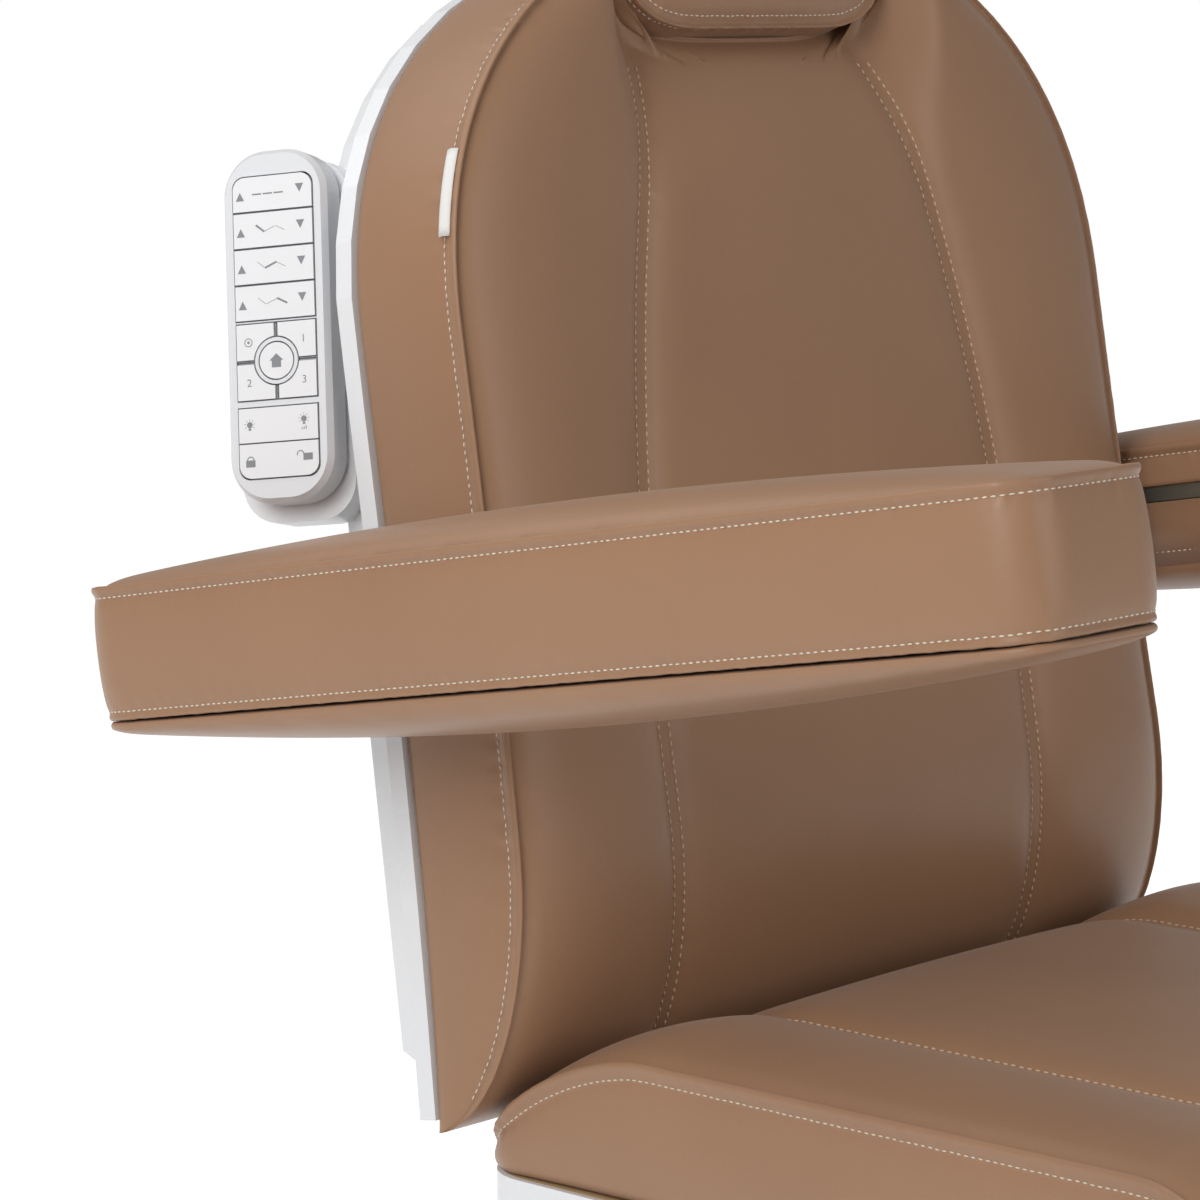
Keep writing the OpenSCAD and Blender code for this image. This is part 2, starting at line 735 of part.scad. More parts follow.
module hinge_pins() {
    inner = upright_x + side_gap;
    color("#b9bcc0") {
        both_sides() for (place = [[pivot_y, pivot_z], [leg_axis_y, leg_axis_z]])
            bar_x(inner, rail_x + rail_w / 2 + pin_head, place[0], place[1], hinge_r);
        for (place = [[0, front_cross_y, tilt_pin_z], [crank_x, front_cross_y, back_line_z],
                      [leg_crank_x, rear_cross_y, leg_line_z]])
            bar_x(place[0] - eye_w / 2 - plate_t - pin_head, place[0] + eye_w / 2 + plate_t + pin_head,
                  place[1], place[2], crank_pin_r);
    }
}

// Linear actuators. Each is drawn along +Y from its rear pin and turned into place.
motor_r = 23;
motor_l = 110;
motor_drop = 48;
gear_l = 46;
gear_from = 14;
module actuator_case(length, pin_gap) {
    difference() {
        union() {
            translate([0, gear_from, 0]) rotate([-90, 0, 0])
                cylinder(r = actuator_r, h = length - gear_from, $fn = round_fn);
            block([-actuator_r, gear_from, -motor_drop - motor_r], [actuator_r, gear_from + gear_l, 0]);
            translate([0, gear_from + gear_l, -motor_drop]) rotate([-90, 0, 0])
                cylinder(r = motor_r - over, h = motor_l, $fn = round_fn);
            bar_x(-eye_w / 2, eye_w / 2, 0, 0, eye_r);
            block([-eye_w / 2, 0, -eye_r], [eye_w / 2, gear_from + over, eye_r]);
        }
        translate([0, gear_from + gear_l, 0]) rotate([-90, 0, 0])
            cylinder(r = rod_out_r + run_gap * 2, h = length, $fn = round_fn);
        bar_x(-eye_w, eye_w, 0, 0, crank_pin_r + pin_gap);
    }
}
crank_arm = crank_pin_r + crank_slack + plate_t / 2;
tang_l = (crank_arm + rod_out_r * sin(crank_half)) / cos(crank_half) + pin_head;
module actuator_rod(from, to, pin_r, solid_pin) {
    difference() {
        union() {
            translate([0, from, 0]) rotate([-90, 0, 0])
                cylinder(r = rod_out_r, h = to - tang_l - from, $fn = round_fn);
            block([-eye_w / 2, to - tang_l - over, -rod_out_r / 2], [eye_w / 2, to, rod_out_r / 2]);
            bar_x(-eye_w / 2, eye_w / 2, to, 0, eye_r);
            if (solid_pin)
                bar_x(-cheek_x - plate_t - pin_head, cheek_x + plate_t + pin_head, to, 0, pin_r);
        }
        if (!solid_pin) bar_x(-eye_w, eye_w, to, 0, pin_r);
    }
}
rod_set = 2;
rod_seat = gear_from + gear_l + rod_set;
back_pin_y = pivot_y + crank_h * tan(crank_half);
back_case_l = 320;
back_rod_l = back_pin_y - front_cross_y;
leg_half = leg_drop / 2;
leg_pin_y = leg_axis_y + leg_crank_h * tan(leg_half);
leg_rod_l = rear_cross_y - leg_pin_y;
leg_case_l = 262;
module back_actuator_body() {
    color("#3b3d41") translate([crank_x, front_cross_y, back_line_z]) actuator_case(back_case_l, 0);
}
module back_actuator_rod() {
    stroke = 2 * crank_h * tan(crank_half);
    color("#c7cacd") translate([crank_x, front_cross_y, back_line_z])
        actuator_rod(rod_seat + stroke, back_rod_l, crank_pin_r, true);
}
module leg_actuator_body() {
    color("#3b3d41") translate([leg_crank_x, rear_cross_y, leg_line_z]) mirror([0, 1, 0])
        actuator_case(leg_case_l, 0);
}
module leg_actuator_rod() {
    color("#c7cacd") translate([leg_crank_x, rear_cross_y, leg_line_z]) mirror([0, 1, 0])
        actuator_rod(rod_seat, leg_rod_l, crank_pin_r, true);
}

// Leg frame, level as drawn, with hinge ears and a slotted crank.
leg_frame_gap = 20;
leg_frame_end = 60;
module leg_frame() {
    start = leg_axis_y - leg_rear_gap - leg_frame_gap;
    far = leg_axis_y - leg_rear_gap - leg_l + leg_frame_end;
    ear = upright_x + side_gap * 3;
    color("#4a4d52") on_leg() {
        both_sides() difference() {
            union() {
                block([upright_x - upright_w / 2, far, frame_low + rail_drop],
                      [upright_x + upright_w / 2, start, frame_top + rail_drop]);
                block([ear, start - leg_frame_gap, leg_axis_z - hinge_boss_r],
                      [ear + plate_t, leg_axis_y, leg_axis_z + hinge_boss_r]);
                bar_x(ear, ear + plate_t, leg_axis_y, leg_axis_z, hinge_boss_r);
            }
            bar_x(0, rail_x, leg_axis_y, leg_axis_z, hinge_r + run_gap);
        }
        for (y = [start - cross_w, far])
            block([-upright_x, y, frame_low + rail_drop], [upright_x, y + cross_w, frame_top + rail_drop]);
        translate([0, leg_axis_y, leg_axis_z]) cheek_pair(leg_crank_x, cheek_x, plate_t)
            crank(leg_crank_h, leg_half, -leg_half)
                translate([start - cross_w - leg_axis_y, -plate_t])
                    square([leg_axis_y - start + cross_w, plate_t + hinge_boss_r - over]);
    }
}

// Column: three square tubes, one inside the other, with the lift actuator down the middle.
column_r = 16;
column_gap = 3.5;
base_deck_z = 70;
deck_t = 8;
stage_overlap = 140;
column_top = base_deck_z + lift / 2 + stage_overlap;
stage_step = 14;
stage_lift = 6;
mid_w = column_w - 2 * tube_wall - 2 * column_gap;
inner_w = mid_w - 2 * tube_wall - 2 * column_gap;
glide_h = 20;
module column_tube(w, from, to, glides) {
    translate([0, column_y, from]) difference() {
        union() {
            linear_extrude(to - from) rounded_rect(w, w, column_r);
            if (glides) for (a = [0 : 90 : 270]) rotate(a)
                block([-w / 4, w / 2 - over, over], [w / 4, w / 2 + column_gap - soft_gap, glide_h]);
        }
        translate([0, 0, -over]) linear_extrude(to - from + 2 * over)
            rounded_rect(w - 2 * tube_wall, w - 2 * tube_wall, column_r - tube_wall);
    }
}
head_z = column_top + 2 * stage_step;
module column_outer() { color("#dcdde0") column_tube(column_w, base_deck_z, column_top, false); }
module column_mid() {
    color("#d2d3d6") column_tube(mid_w, base_deck_z + stage_lift, column_top + stage_step, true);
}
module column_inner() {
    color("#dcdde0") column_tube(inner_w, base_deck_z + 2 * stage_lift, head_z, true);
}
lift_case_r = 32;
lift_rod_r = 20;
module lift_actuator_body() {
    color("#3b3d41") translate([0, column_y, base_deck_z]) difference() {
        cylinder(r = lift_case_r, h = column_top - base_deck_z, $fn = round_fn);
        translate([0, 0, deck_t]) cylinder(r = lift_rod_r + run_gap * 2, h = column_top, $fn = round_fn);
    }
}
module lift_actuator_rod() {
    color("#c7cacd") translate([0, column_y, base_deck_z + deck_t + over])
        cylinder(r = lift_rod_r, h = head_z - base_deck_z - deck_t - over, $fn = round_fn);
}

// Head of the column: plate, tilt ears and the arm that carries the tilt actuator.
tilt_arm_ahead = 121;
tilt_arm_z = 240;
tilt_arm_half = 15;
tilt_arm_gap = 2;
tilt_arm_x = actuator_r + tilt_arm_gap;
module tilt_head() {
    half = inner_w / 2;
    arm_y = column_y - tilt_arm_ahead;
    color("#4a4d52") difference() {
        union() {
            block([-tilt_ear_x - plate_t, column_y - tilt_boss_r * 2, head_z],
                  [tilt_ear_x + plate_t, column_y + half, head_z + deck_t]);
            block([-tilt_arm_x - plate_t, arm_y, head_z],
                  [tilt_arm_x + plate_t, column_y, head_z + deck_t]);
            both_sides() {
                block([tilt_ear_x, column_y - tilt_boss_r, head_z],
                      [tilt_ear_x + plate_t, column_y + tilt_boss_r, tilt_axis_z]);
                bar_x(tilt_ear_x, tilt_ear_x + plate_t, column_y, tilt_axis_z, tilt_boss_r);
                block([tilt_arm_x, arm_y - tilt_arm_half, tilt_arm_z],
                      [tilt_arm_x + plate_t, arm_y + tilt_arm_half, head_z + over]);
                bar_x(tilt_arm_x, tilt_arm_x + plate_t, arm_y, tilt_arm_z, tilt_arm_half);
            }
        }
        bar_x(-tilt_plate_x, tilt_plate_x, column_y, tilt_axis_z, tilt_axle_r);
        bar_x(-tilt_plate_x, tilt_plate_x, arm_y, tilt_arm_z, crank_pin_r);
    }
}
module tilt_axle() {
    end = tilt_plate_x + plate_t - side_gap;
    color("#b9bcc0") {
        bar_x(-end, end, column_y, tilt_axis_z, tilt_axle_r);
        bar_x(-tilt_arm_x - plate_t, tilt_arm_x + plate_t, column_y - tilt_arm_ahead, tilt_arm_z,
              crank_pin_r);
    }
}
tilt_dy = column_y - tilt_arm_ahead - front_cross_y;
tilt_dz = tilt_pin_z - tilt_arm_z;
tilt_reach = sqrt(tilt_dy * tilt_dy + tilt_dz * tilt_dz);
case_grip = 35;
tilt_case_l = rod_seat + case_grip + front_cross_ahead * sin(seat_tilt);
module on_tilt() translate([0, column_y - tilt_arm_ahead, tilt_arm_z])
    rotate([90 + atan(tilt_dy / tilt_dz), 0, 0]) children();
module tilt_actuator_body() {
    color("#3b3d41") on_tilt() mirror([0, 0, 1]) actuator_case(tilt_case_l, run_gap);
}
module tilt_actuator_rod() {
    color("#c7cacd") on_tilt() actuator_rod(rod_seat, tilt_reach, crank_pin_r + lug_slack, false);
}

// Base: a steel frame on four levelling feet, below a moulded cover.
foot_x = 200;
foot_in = 50;
foot_r = 24;
foot_h = 10;
stem_r = 5;
base_tube_z = 22;
base_tube_h = 40;
base_tube_w = 60;
base_r = 110;
cover_z = 12;
cover_wall_z = 58;
cover_top_in = 70;
cover_shoulder = 14;
collar_gap = 3;
foot_y = base_l / 2 - foot_in;
frame_end = base_l / 2 - foot_in / 2;
module base_frame() {
    color("#4a4d52") translate([0, column_y, 0]) difference() {
        union() {
            both_sides() block([foot_x - base_tube_w / 2, -frame_end, base_tube_z],
                               [foot_x + base_tube_w / 2, frame_end, base_tube_z + base_tube_h]);
            for (y = [-foot_y + base_tube_w, 0, foot_y - base_tube_w])
                block([-foot_x, y - base_tube_w / 2, base_tube_z],
                      [foot_x, y + base_tube_w / 2, base_tube_z + base_tube_h]);
            block([-column_w * 0.75, -column_w * 0.75, base_tube_z + base_tube_h],
                  [column_w * 0.75, column_w * 0.75, base_deck_z]);
        }
        for (x = [-foot_x, foot_x], y = [-foot_y, foot_y])
            translate([x, y, 0]) cylinder(r = stem_r, h = base_tube_z + base_tube_h / 2, $fn = round_fn);
    }
}
module levelling_feet() {
    color("#2b2c2e") translate([0, column_y, 0])
        for (x = [-foot_x, foot_x], y = [-foot_y, foot_y]) translate([x, y, 0]) {
            cylinder(r = foot_r, h = foot_h, $fn = round_fn);
            cylinder(r = stem_r, h = base_tube_z + base_tube_h / 2, $fn = round_fn);
            translate([0, 0, foot_h]) cylinder(r = stem_r * 2, h = base_tube_z - foot_h, $fn = 6);
        }
}
module cover_form(inset) hull() {
    for (step = [[cover_z, 0], [cover_wall_z, 0], [base_h - cover_shoulder, cover_top_in * 0.6],
                 [base_h - over, cover_top_in]])
        translate([0, column_y, step[0] - (step[0] > cover_wall_z ? inset : 0)]) linear_extrude(over)
            offset(-step[1] - inset, $fn = hull_fn) square([base_w, base_l], center = true);
}
module cover_solid(inset) intersection() {
    cover_form(inset);
    translate([0, column_y, 0]) linear_extrude(base_h)
        rounded_rect(base_w - 2 * inset, base_l - 2 * inset, base_r - inset);
}
inlet_w = 48;
inlet_h = 28;
inlet_z = 36;
inlet_d = 26;
inlet_flange = 2;
socket_w = 24;
socket_h = 17;
socket_d = 16;
blade_pitch = 7;
blade = [2, 12, 4];
module base_cover() {
    hole = column_w + 2 * collar_gap;
    color("#e6e7ea") difference() {
        cover_solid(0);
        cover_solid(wall);
        translate([0, column_y, -over]) linear_extrude(base_h * 2)
            rounded_rect(hole, hole, column_r + collar_gap);
        block([-inlet_w / 2, column_y, inlet_z - inlet_h / 2],
              [inlet_w / 2, column_y + base_l, inlet_z + inlet_h / 2]);
        translate([0, column_y, 0]) linear_extrude(cover_z + over)
            rounded_rect(base_w - 2 * wall, base_l - 2 * wall, base_r - wall);
    }
}
module power_inlet() {
    rear = column_y + base_l / 2;
    color("#1f2022") {
        difference() {
            union() {
                block([-inlet_w / 2 + side_gap, rear - inlet_d, inlet_z - inlet_h / 2 + side_gap],
                      [inlet_w / 2 - side_gap, rear, inlet_z + inlet_h / 2 - side_gap]);
                block([-inlet_w / 2 - inlet_flange, rear, inlet_z - inlet_h / 2 - inlet_flange],
                      [inlet_w / 2 + inlet_flange, rear + inlet_flange, inlet_z + inlet_h / 2 + inlet_flange]);
            }
            block([-socket_w / 2, rear - socket_d, inlet_z - socket_h / 2],
                  [socket_w / 2, rear + inlet_d, inlet_z + socket_h / 2]);
        }
        for (x = [-blade_pitch, 0, blade_pitch])
            translate([x - blade[0] / 2, rear - socket_d - over, inlet_z - blade[2] / 2]) cube(blade);
    }
}
box_l = 150;
box_w = 110;
box_h = 34;
box_gap = 4;
module control_box() {
    color("#2b2c2e") translate([0, column_y + foot_y - base_tube_w, base_tube_z + base_tube_h])
        block([-box_l / 2, -box_w / 2 - box_gap, 0], [box_l / 2, base_tube_w / 2, box_h]);
}

// Keypad: a pill-shaped case with windows, its circuit board and eleven keys.
pad_x = -300;
pad_up = 448.4;
pad_behind = 124.5;
pad_turn = -69.2;
pad_rake = 10.8;
pad_roll = 6.2;
pad_r = 25;
pad_soft = 5;
pad_wall = 2;
top_z = 82.8;
memory_top = 1.7;
memory_low = -40.6;
light_top = -44.4;
home_y = (memory_top + memory_low) / 2;
home_r = 10;
ring_r = 12.8;
ring_w = 2;
key_gap = 0.8;
key_proud = 0.8;
key_cap = 3.4;
key_r = 7;
stem_x = 16;
stem_r_key = 1.6;
stem_l = 5;
rib_w = 1.4;
rib_h = 2;
board_z = -9;
pcb_t = 1.6;
dome_h = 0.55;
dome_r = 3;
post_r = 3;
memory_h = memory_top - memory_low;
memory_in = rib_w / 2 + side_gap;
memory_out = [(key_w - key_gap) / 2, (memory_h - key_gap) / 2];
module on_pad() translate([pad_x, back_y + pad_behind, seat_z + pad_up])
    rotate([0, 0, pad_turn]) rotate([90 - pad_rake, 0, 0]) rotate([0, 0, pad_roll]) children();
module pad_case(inset, z_from, z_to, soft) hull() {
    translate([0, 0, z_from]) linear_extrude(over)
        rounded_rect(pad_w - 2 * inset, pad_l - 2 * inset, pad_r - inset);
    translate([0, 0, z_to - pad_soft]) linear_extrude(over)
        rounded_rect(pad_w - 2 * inset, pad_l - 2 * inset, pad_r - inset);
    translate([0, 0, z_to - over]) linear_extrude(over)
        rounded_rect(pad_w - 2 * inset - soft, pad_l - 2 * inset - soft, pad_r - inset - soft / 2);
}
// Each row of rocker keys: its middle, and which of its corners are rounded.
row_middles = [for (i = [0 : 3]) top_z - row_h * (i + 0.5) - key_gap * i / 2];
light_mid = light_top - row_h / 2;
lock_mid = light_mid - row_h;
key_plan_h = row_h - key_gap;
// A key's outline; end is 1 to round its upper corners, -1 its lower ones and 0 for none.
module key_plan(end) {
    w = key_w - key_gap;
    if (end == 0) square([w, key_plan_h], center = true);
    else intersection() {
        square([w, key_plan_h], center = true);
        translate([0, -end * key_plan_h]) rounded_rect(w, 3 * key_plan_h, key_r);
    }
}
module window_plan(high, low, end_high, end_low) {
    mid = (high + low) / 2;
    h = high - low;
    intersection() {
        translate([0, mid]) square([key_w + key_gap, h + key_gap], center = true);
        translate([0, mid + (end_low - end_high) * h / 2])
            rounded_rect(key_w + key_gap, h + key_gap + h * (2 - end_high - end_low) , key_r);
    }
}
module handset_front() {
    color("#ececee") on_pad() {
        difference() {
            pad_case(0, -pad_t / 2, 0, pad_soft);
            pad_case(pad_wall, -pad_t / 2 - over, -pad_wall, pad_soft);
            translate([0, 0, -pad_t]) linear_extrude(pad_t + over) {
                window_plan(top_z, row_middles[3] - row_h / 2, 1, 0);
                window_plan(memory_top, memory_low, 0, 0);
                window_plan(light_top, lock_mid - row_h / 2, 0, 1);
            }
        }
        translate([0, home_y, -rib_h]) difference() {
            cylinder(r = ring_r, h = rib_h + key_proud, $fn = round_fn);
            translate([0, 0, -over]) cylinder(r = ring_r - ring_w, h = 2 * pad_wall + 2 * over, $fn = round_fn);
        }
        for (s = [-1, 1]) {
            block([s > 0 ? ring_r - over : -key_w / 2 - over, home_y - rib_w / 2, -rib_h],
                  [s > 0 ? key_w / 2 + over : -ring_r + over, home_y + rib_w / 2, -key_gap]);
            block([-rib_w / 2, s > 0 ? home_y + ring_r - over : memory_low - over, -rib_h],
                  [rib_w / 2, s > 0 ? memory_top + over : home_y - ring_r + over, -key_gap]);
        }
    }
}
hook_w = 10;
hook_head_w = 18;
hook_neck = 3;
hook_head = 3;
hook_half_l = 34;
module handset_back() {
    color("#e4e4e7") on_pad() {
        difference() {
            mirror([0, 0, 1]) pad_case(0, pad_t / 2, pad_t, pad_soft);
            mirror([0, 0, 1]) pad_case(pad_wall, pad_t / 2 - over, pad_t - pad_wall, pad_soft);
        }
        for (x = [-1, 1], y = [-1, 1])
            translate([x * (pad_w / 2 - pad_r / 2 - pad_wall), y * (pad_l / 2 - pad_r), -pad_t + pad_wall / 2])
                cylinder(r = post_r, h = pad_t - pad_wall / 2 + board_z - pcb_t, $fn = round_fn);
        block([-hook_w / 2, -hook_half_l, -pad_t - hook_neck - over],
              [hook_w / 2, hook_half_l, -pad_t + pad_wall / 2]);
        block([-hook_head_w / 2, -hook_half_l, -pad_t - hook_neck - hook_head],
              [hook_head_w / 2, hook_half_l, -pad_t - hook_neck]);
    }
}
memory_places = [for (y = [1, -1], x = [-1, 1])
    [x * (memory_in + memory_out[0]) / 2, home_y + y * (memory_in + memory_out[1]) / 2]];
module handset_board() {
    stems = concat(
        [for (y = concat(row_middles, [light_mid, lock_mid]), x = [-stem_x, stem_x]) [x, y]],
        [for (place = memory_places) [place[0] * 1.2, place[1]]],
        [[0, home_y]]
    );
    color("#2f6b46") on_pad() translate([0, 0, board_z - pcb_t]) {
        linear_extrude(pcb_t)
            rounded_rect(pad_w - 2 * pad_wall - 2 * side_gap, pad_l - 2 * pad_wall - 2 * side_gap,
                         pad_r - pad_wall - side_gap);
        for (place = stems) translate([place[0], place[1], pcb_t])
            cylinder(r = dome_r, h = dome_h, $fn = round_fn / 2);
    }
}
key_low = key_proud - key_cap;
module rocker(mid, end) {
    color("#f0f0f2") on_pad() translate([0, mid, 0]) {
        translate([0, 0, key_low]) linear_extrude(key_cap) key_plan(end);
        for (x = [-stem_x, stem_x]) translate([x, 0, key_low - stem_l])
            cylinder(r = stem_r_key, h = stem_l + over, $fn = round_fn / 2);
    }
}
module memory_key(place) {
    color("#f0f0f2") on_pad() {
        translate([0, 0, key_low]) linear_extrude(key_cap) difference() {
            translate(place)
                square([memory_out[0] - memory_in, memory_out[1] - memory_in], center = true);
            translate([0, home_y]) circle(ring_r + key_gap, $fn = round_fn);
        }
        translate([place[0] * 1.2, place[1], key_low - stem_l])
            cylinder(r = stem_r_key, h = stem_l + over, $fn = round_fn / 2);
    }
}
module key_height() { rocker(row_middles[0], 1); }
module key_back() { rocker(row_middles[1], 0); }
module key_seat() { rocker(row_middles[2], 0); }
module key_leg() { rocker(row_middles[3], 0); }
module key_set() { memory_key(memory_places[0]); }
module key_memory_1() { memory_key(memory_places[1]); }
module key_memory_2() { memory_key(memory_places[2]); }
module key_memory_3() { memory_key(memory_places[3]); }
module key_light() { rocker(light_mid, 0); }
module key_lock() { rocker(lock_mid, -1); }
module key_home() {
    color("#f0f0f2") on_pad() translate([0, home_y, 0]) {
        translate([0, 0, key_low]) cylinder(r = home_r, h = key_cap, $fn = round_fn);
        translate([0, 0, key_low - stem_l]) cylinder(r = stem_r_key, h = stem_l + over, $fn = round_fn / 2);
    }
}

// Holder that the keypad's hook drops into, carried by the side of the backrest's shell.
holder_gap = 0.6;
holder_d = 26;
holder_over = 3;
holder_r = 22;
holder_low = 6;
bracket_in = 215;
bracket_h = 44;
bracket_back = -58;
bracket_front = -26;
module handset_holder() {
    slot_low = -hook_half_l - holder_gap;
    top = -pad_t - holder_gap;
    slide = 2 * pad_l;
    color("#e6e7ea") difference() {
        union() {
            on_pad() translate([0, -holder_low, top - holder_d]) linear_extrude(holder_d)
                rounded_rect(pad_w + 2 * holder_over, pad_l + 2 * holder_over, holder_r);
            on_back() block([pad_x + pad_w / 2, pad_up - bracket_h, bracket_back],
                            [-bracket_in, pad_up + bracket_h, bracket_front]);
        }
        on_pad() {
            block([-pad_w, -pad_l, top], [pad_w, slide, pad_t]);
            block([-hook_w / 2 - holder_gap, slot_low, -pad_t - hook_neck - holder_gap - over],
                  [hook_w / 2 + holder_gap, slide, top + over]);
            block([-hook_head_w / 2 - holder_gap, slot_low, -pad_t - hook_neck - hook_head - holder_gap],
                  [hook_head_w / 2 + holder_gap, slide, -pad_t - hook_neck + holder_gap]);
        }
        on_back() dome(0);
    }
}

base_frame();
base_cover();
levelling_feet();
power_inlet();
control_box();
column_outer();
lift_actuator_body();
column_mid();
column_inner();
lift_actuator_rod();
tilt_head();
tilt_axle();
tilt_actuator_body();
tilt_actuator_rod();
seat_frame();
hinge_pins();
seat_shell();
seat_board();
seat_cushion();
back_actuator_body();
back_actuator_rod();
leg_actuator_body();
leg_actuator_rod();
back_frame();
armrest_axle();
back_shell();
back_board();
back_cushion();
headrest_sleeves();
handset_holder();
headrest_rods();
headrest_bracket();
headrest_board();
headrest_cushion();
armrest_arm_right();
armrest_pad_right();
armrest_under_right();
armrest_arm_left();
armrest_pad_left();
armrest_under_left();
leg_frame();
leg_shell();
leg_board();
leg_cushion();
handset_front();
handset_back();
handset_board();
key_height();
key_back();
key_seat();
key_leg();
key_set();
key_memory_1();
key_memory_2();
key_memory_3();
key_home();
key_light();
key_lock();
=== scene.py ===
# %% [markdown]
# # An electric treatment chair
# The steel frame, the mouldings and the keypad come in as solids from the CAD model. They
# stay where they are and only get finishes. The padding is made here, because sewn
# upholstery swells, creases and pulls in at its stitches, which a plain solid can't show.

# %% Load the solids
import json
import math

import bmesh
import bpy
import numpy as np
from mathutils import Matrix, Vector
from mathutils.bvhtree import BVHTree
from mathutils.kdtree import KDTree


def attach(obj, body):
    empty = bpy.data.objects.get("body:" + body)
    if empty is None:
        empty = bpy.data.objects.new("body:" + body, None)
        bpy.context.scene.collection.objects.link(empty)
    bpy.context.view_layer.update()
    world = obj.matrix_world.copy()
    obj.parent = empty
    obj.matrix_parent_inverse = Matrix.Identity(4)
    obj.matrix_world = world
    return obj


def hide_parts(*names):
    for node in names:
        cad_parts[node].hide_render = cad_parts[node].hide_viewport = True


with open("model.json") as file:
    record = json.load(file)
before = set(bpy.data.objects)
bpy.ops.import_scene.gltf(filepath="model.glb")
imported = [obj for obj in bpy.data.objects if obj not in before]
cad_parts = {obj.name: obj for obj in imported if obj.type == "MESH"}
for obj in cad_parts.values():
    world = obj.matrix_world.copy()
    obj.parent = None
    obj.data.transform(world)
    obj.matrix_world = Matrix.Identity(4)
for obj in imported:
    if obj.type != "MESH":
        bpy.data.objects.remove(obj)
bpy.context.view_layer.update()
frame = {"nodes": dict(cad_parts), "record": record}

nodes = frame["nodes"]
MM = 0.001
print("solids:", len(nodes))

# %% [markdown]
# ## Camera
# The photograph was taken from the person's right, a little above the armrests, with a long
# lens. A long lens keeps lines nearly parallel, so its distance matters as much as its angle.

# %% Camera
eye = Vector((-1.87333, -1.20880, 1.12559))
aim = Vector((-0.17438, 0.325, 0.79556))
camera_data = bpy.data.cameras.new("camera")
camera_data.sensor_width = 36
camera_data.lens = 125.545
camera = bpy.data.objects.new("camera", camera_data)
camera.location = eye
camera.rotation_euler = (aim - eye).to_track_quat("-Z", "Y").to_euler()
bpy.context.scene.collection.objects.link(camera)
bpy.context.scene.camera = camera

# %% [markdown]
# ## Colours and nodes
# Colours are written as they look on a screen. Shaders calculate with light, so one function
# turns each into linear values, and one more adds a node with its settings and its links.

# %% Colour and node helpers
def linear(colour):
    parts = [int(colour[i : i + 2], 16) / 255 for i in (1, 3, 5)]
    return [p / 12.92 if p <= 0.04045 else ((p + 0.055) / 1.055) ** 2.4 for p in parts] + [1]


def add(material, kind, links=None, **settings):
    node = material.node_tree.nodes.new(kind)
    for name, value in settings.items():
        setattr(node, name, value)
    for name, value in (links or {}).items():
        if isinstance(value, bpy.types.NodeSocket):
            material.node_tree.links.new(value, node.inputs[name])
        else:
            node.inputs[name].default_value = value
    return node


def surface(name, colour, roughness, **sockets):
    material = bpy.data.materials.new(name)
    material.use_nodes = True
    shader = material.node_tree.nodes["Principled BSDF"]
    shader.inputs["Base Color"].default_value = linear(colour)
    shader.inputs["Roughness"].default_value = roughness
    for socket, value in sockets.items():
        shader.inputs[socket.replace("_", " ")].default_value = value
    return material, shader


def bump(material, shader, height, depth, strength=1.0):
    relief = add(material, "ShaderNodeBump",
                 {"Height": height, "Distance": depth, "Strength": strength})
    material.node_tree.links.new(relief.outputs["Normal"], shader.inputs["Normal"])


# %% [markdown]
# ## Finishes
# The padding is covered in imitation leather: a soft vinyl skin on cloth, with a fine printed
# grain and a satin sheen. Its colour drifts a little over a hand's width, where it was
# handled, and its grain is under a millimetre, drawn here at the size that can show.

# %% Imitation leather
def leather(name, colour, dark):
    material, shader = surface(name, colour, 0.42, Specular_IOR_Level=0.42,
                               Sheen_Weight=0.12, Sheen_Roughness=0.4)
    place = add(material, "ShaderNodeTexCoord").outputs["Object"]
    drift = add(material, "ShaderNodeTexNoise", {"Vector": place, "Scale": 9.0, "Detail": 3.0})
    tone = add(material, "ShaderNodeMix", {"Factor": drift.outputs["Fac"]}, data_type="RGBA")
    tone.inputs["A"].default_value = linear(colour)
    tone.inputs["B"].default_value = linear(dark)
    material.node_tree.links.new(tone.outputs["Result"], shader.inputs["Base Color"])
    worn = add(material, "ShaderNodeMapRange",
               {"Value": drift.outputs["Fac"], "To Min": 0.36, "To Max": 0.48})
    material.node_tree.links.new(worn.outputs["Result"], shader.inputs["Roughness"])
    grain = add(material, "ShaderNodeTexVoronoi", {"Vector": place, "Scale": 900.0})
    ripple = add(material, "ShaderNodeTexNoise", {"Vector": place, "Scale": 160.0, "Detail": 4.0})
    height = add(material, "ShaderNodeMath",
                 {0: grain.outputs["Distance"], 1: ripple.outputs["Fac"]}, operation="ADD")
    bump(material, shader, height.outputs[0], 0.12 * MM, 0.35)
    return material


upholstery = leather("imitation_leather_tan", "#a07a5c", "#957055")

# %% [markdown]
# Thread is twisted from plies, so a slanted ripple runs round it.

# %% Thread
def thread(name, colour):
    material, shader = surface(name, colour, 0.6, Sheen_Weight=0.2)
    place = add(material, "ShaderNodeTexCoord").outputs["Object"]
    plies = add(material, "ShaderNodeTexWave", {"Vector": place, "Scale": 400.0, "Distortion": 1.0},
                bands_direction="DIAGONAL")
    bump(material, shader, plies.outputs["Fac"], 0.15 * MM, 0.6)
    return material


pale_thread = thread("polyester_thread_cream", "#ded5c4")
tan_thread = thread("polyester_thread_tan", "#cdb294")

# %% [markdown]
# The mouldings are white ABS from a polished mould, so they are smooth and softly glossy, with
# the slight waviness of a cooled moulding. Powder coat has a fine orange peel, drawn steel has
# long scratches, and a plywood board shows its grain.

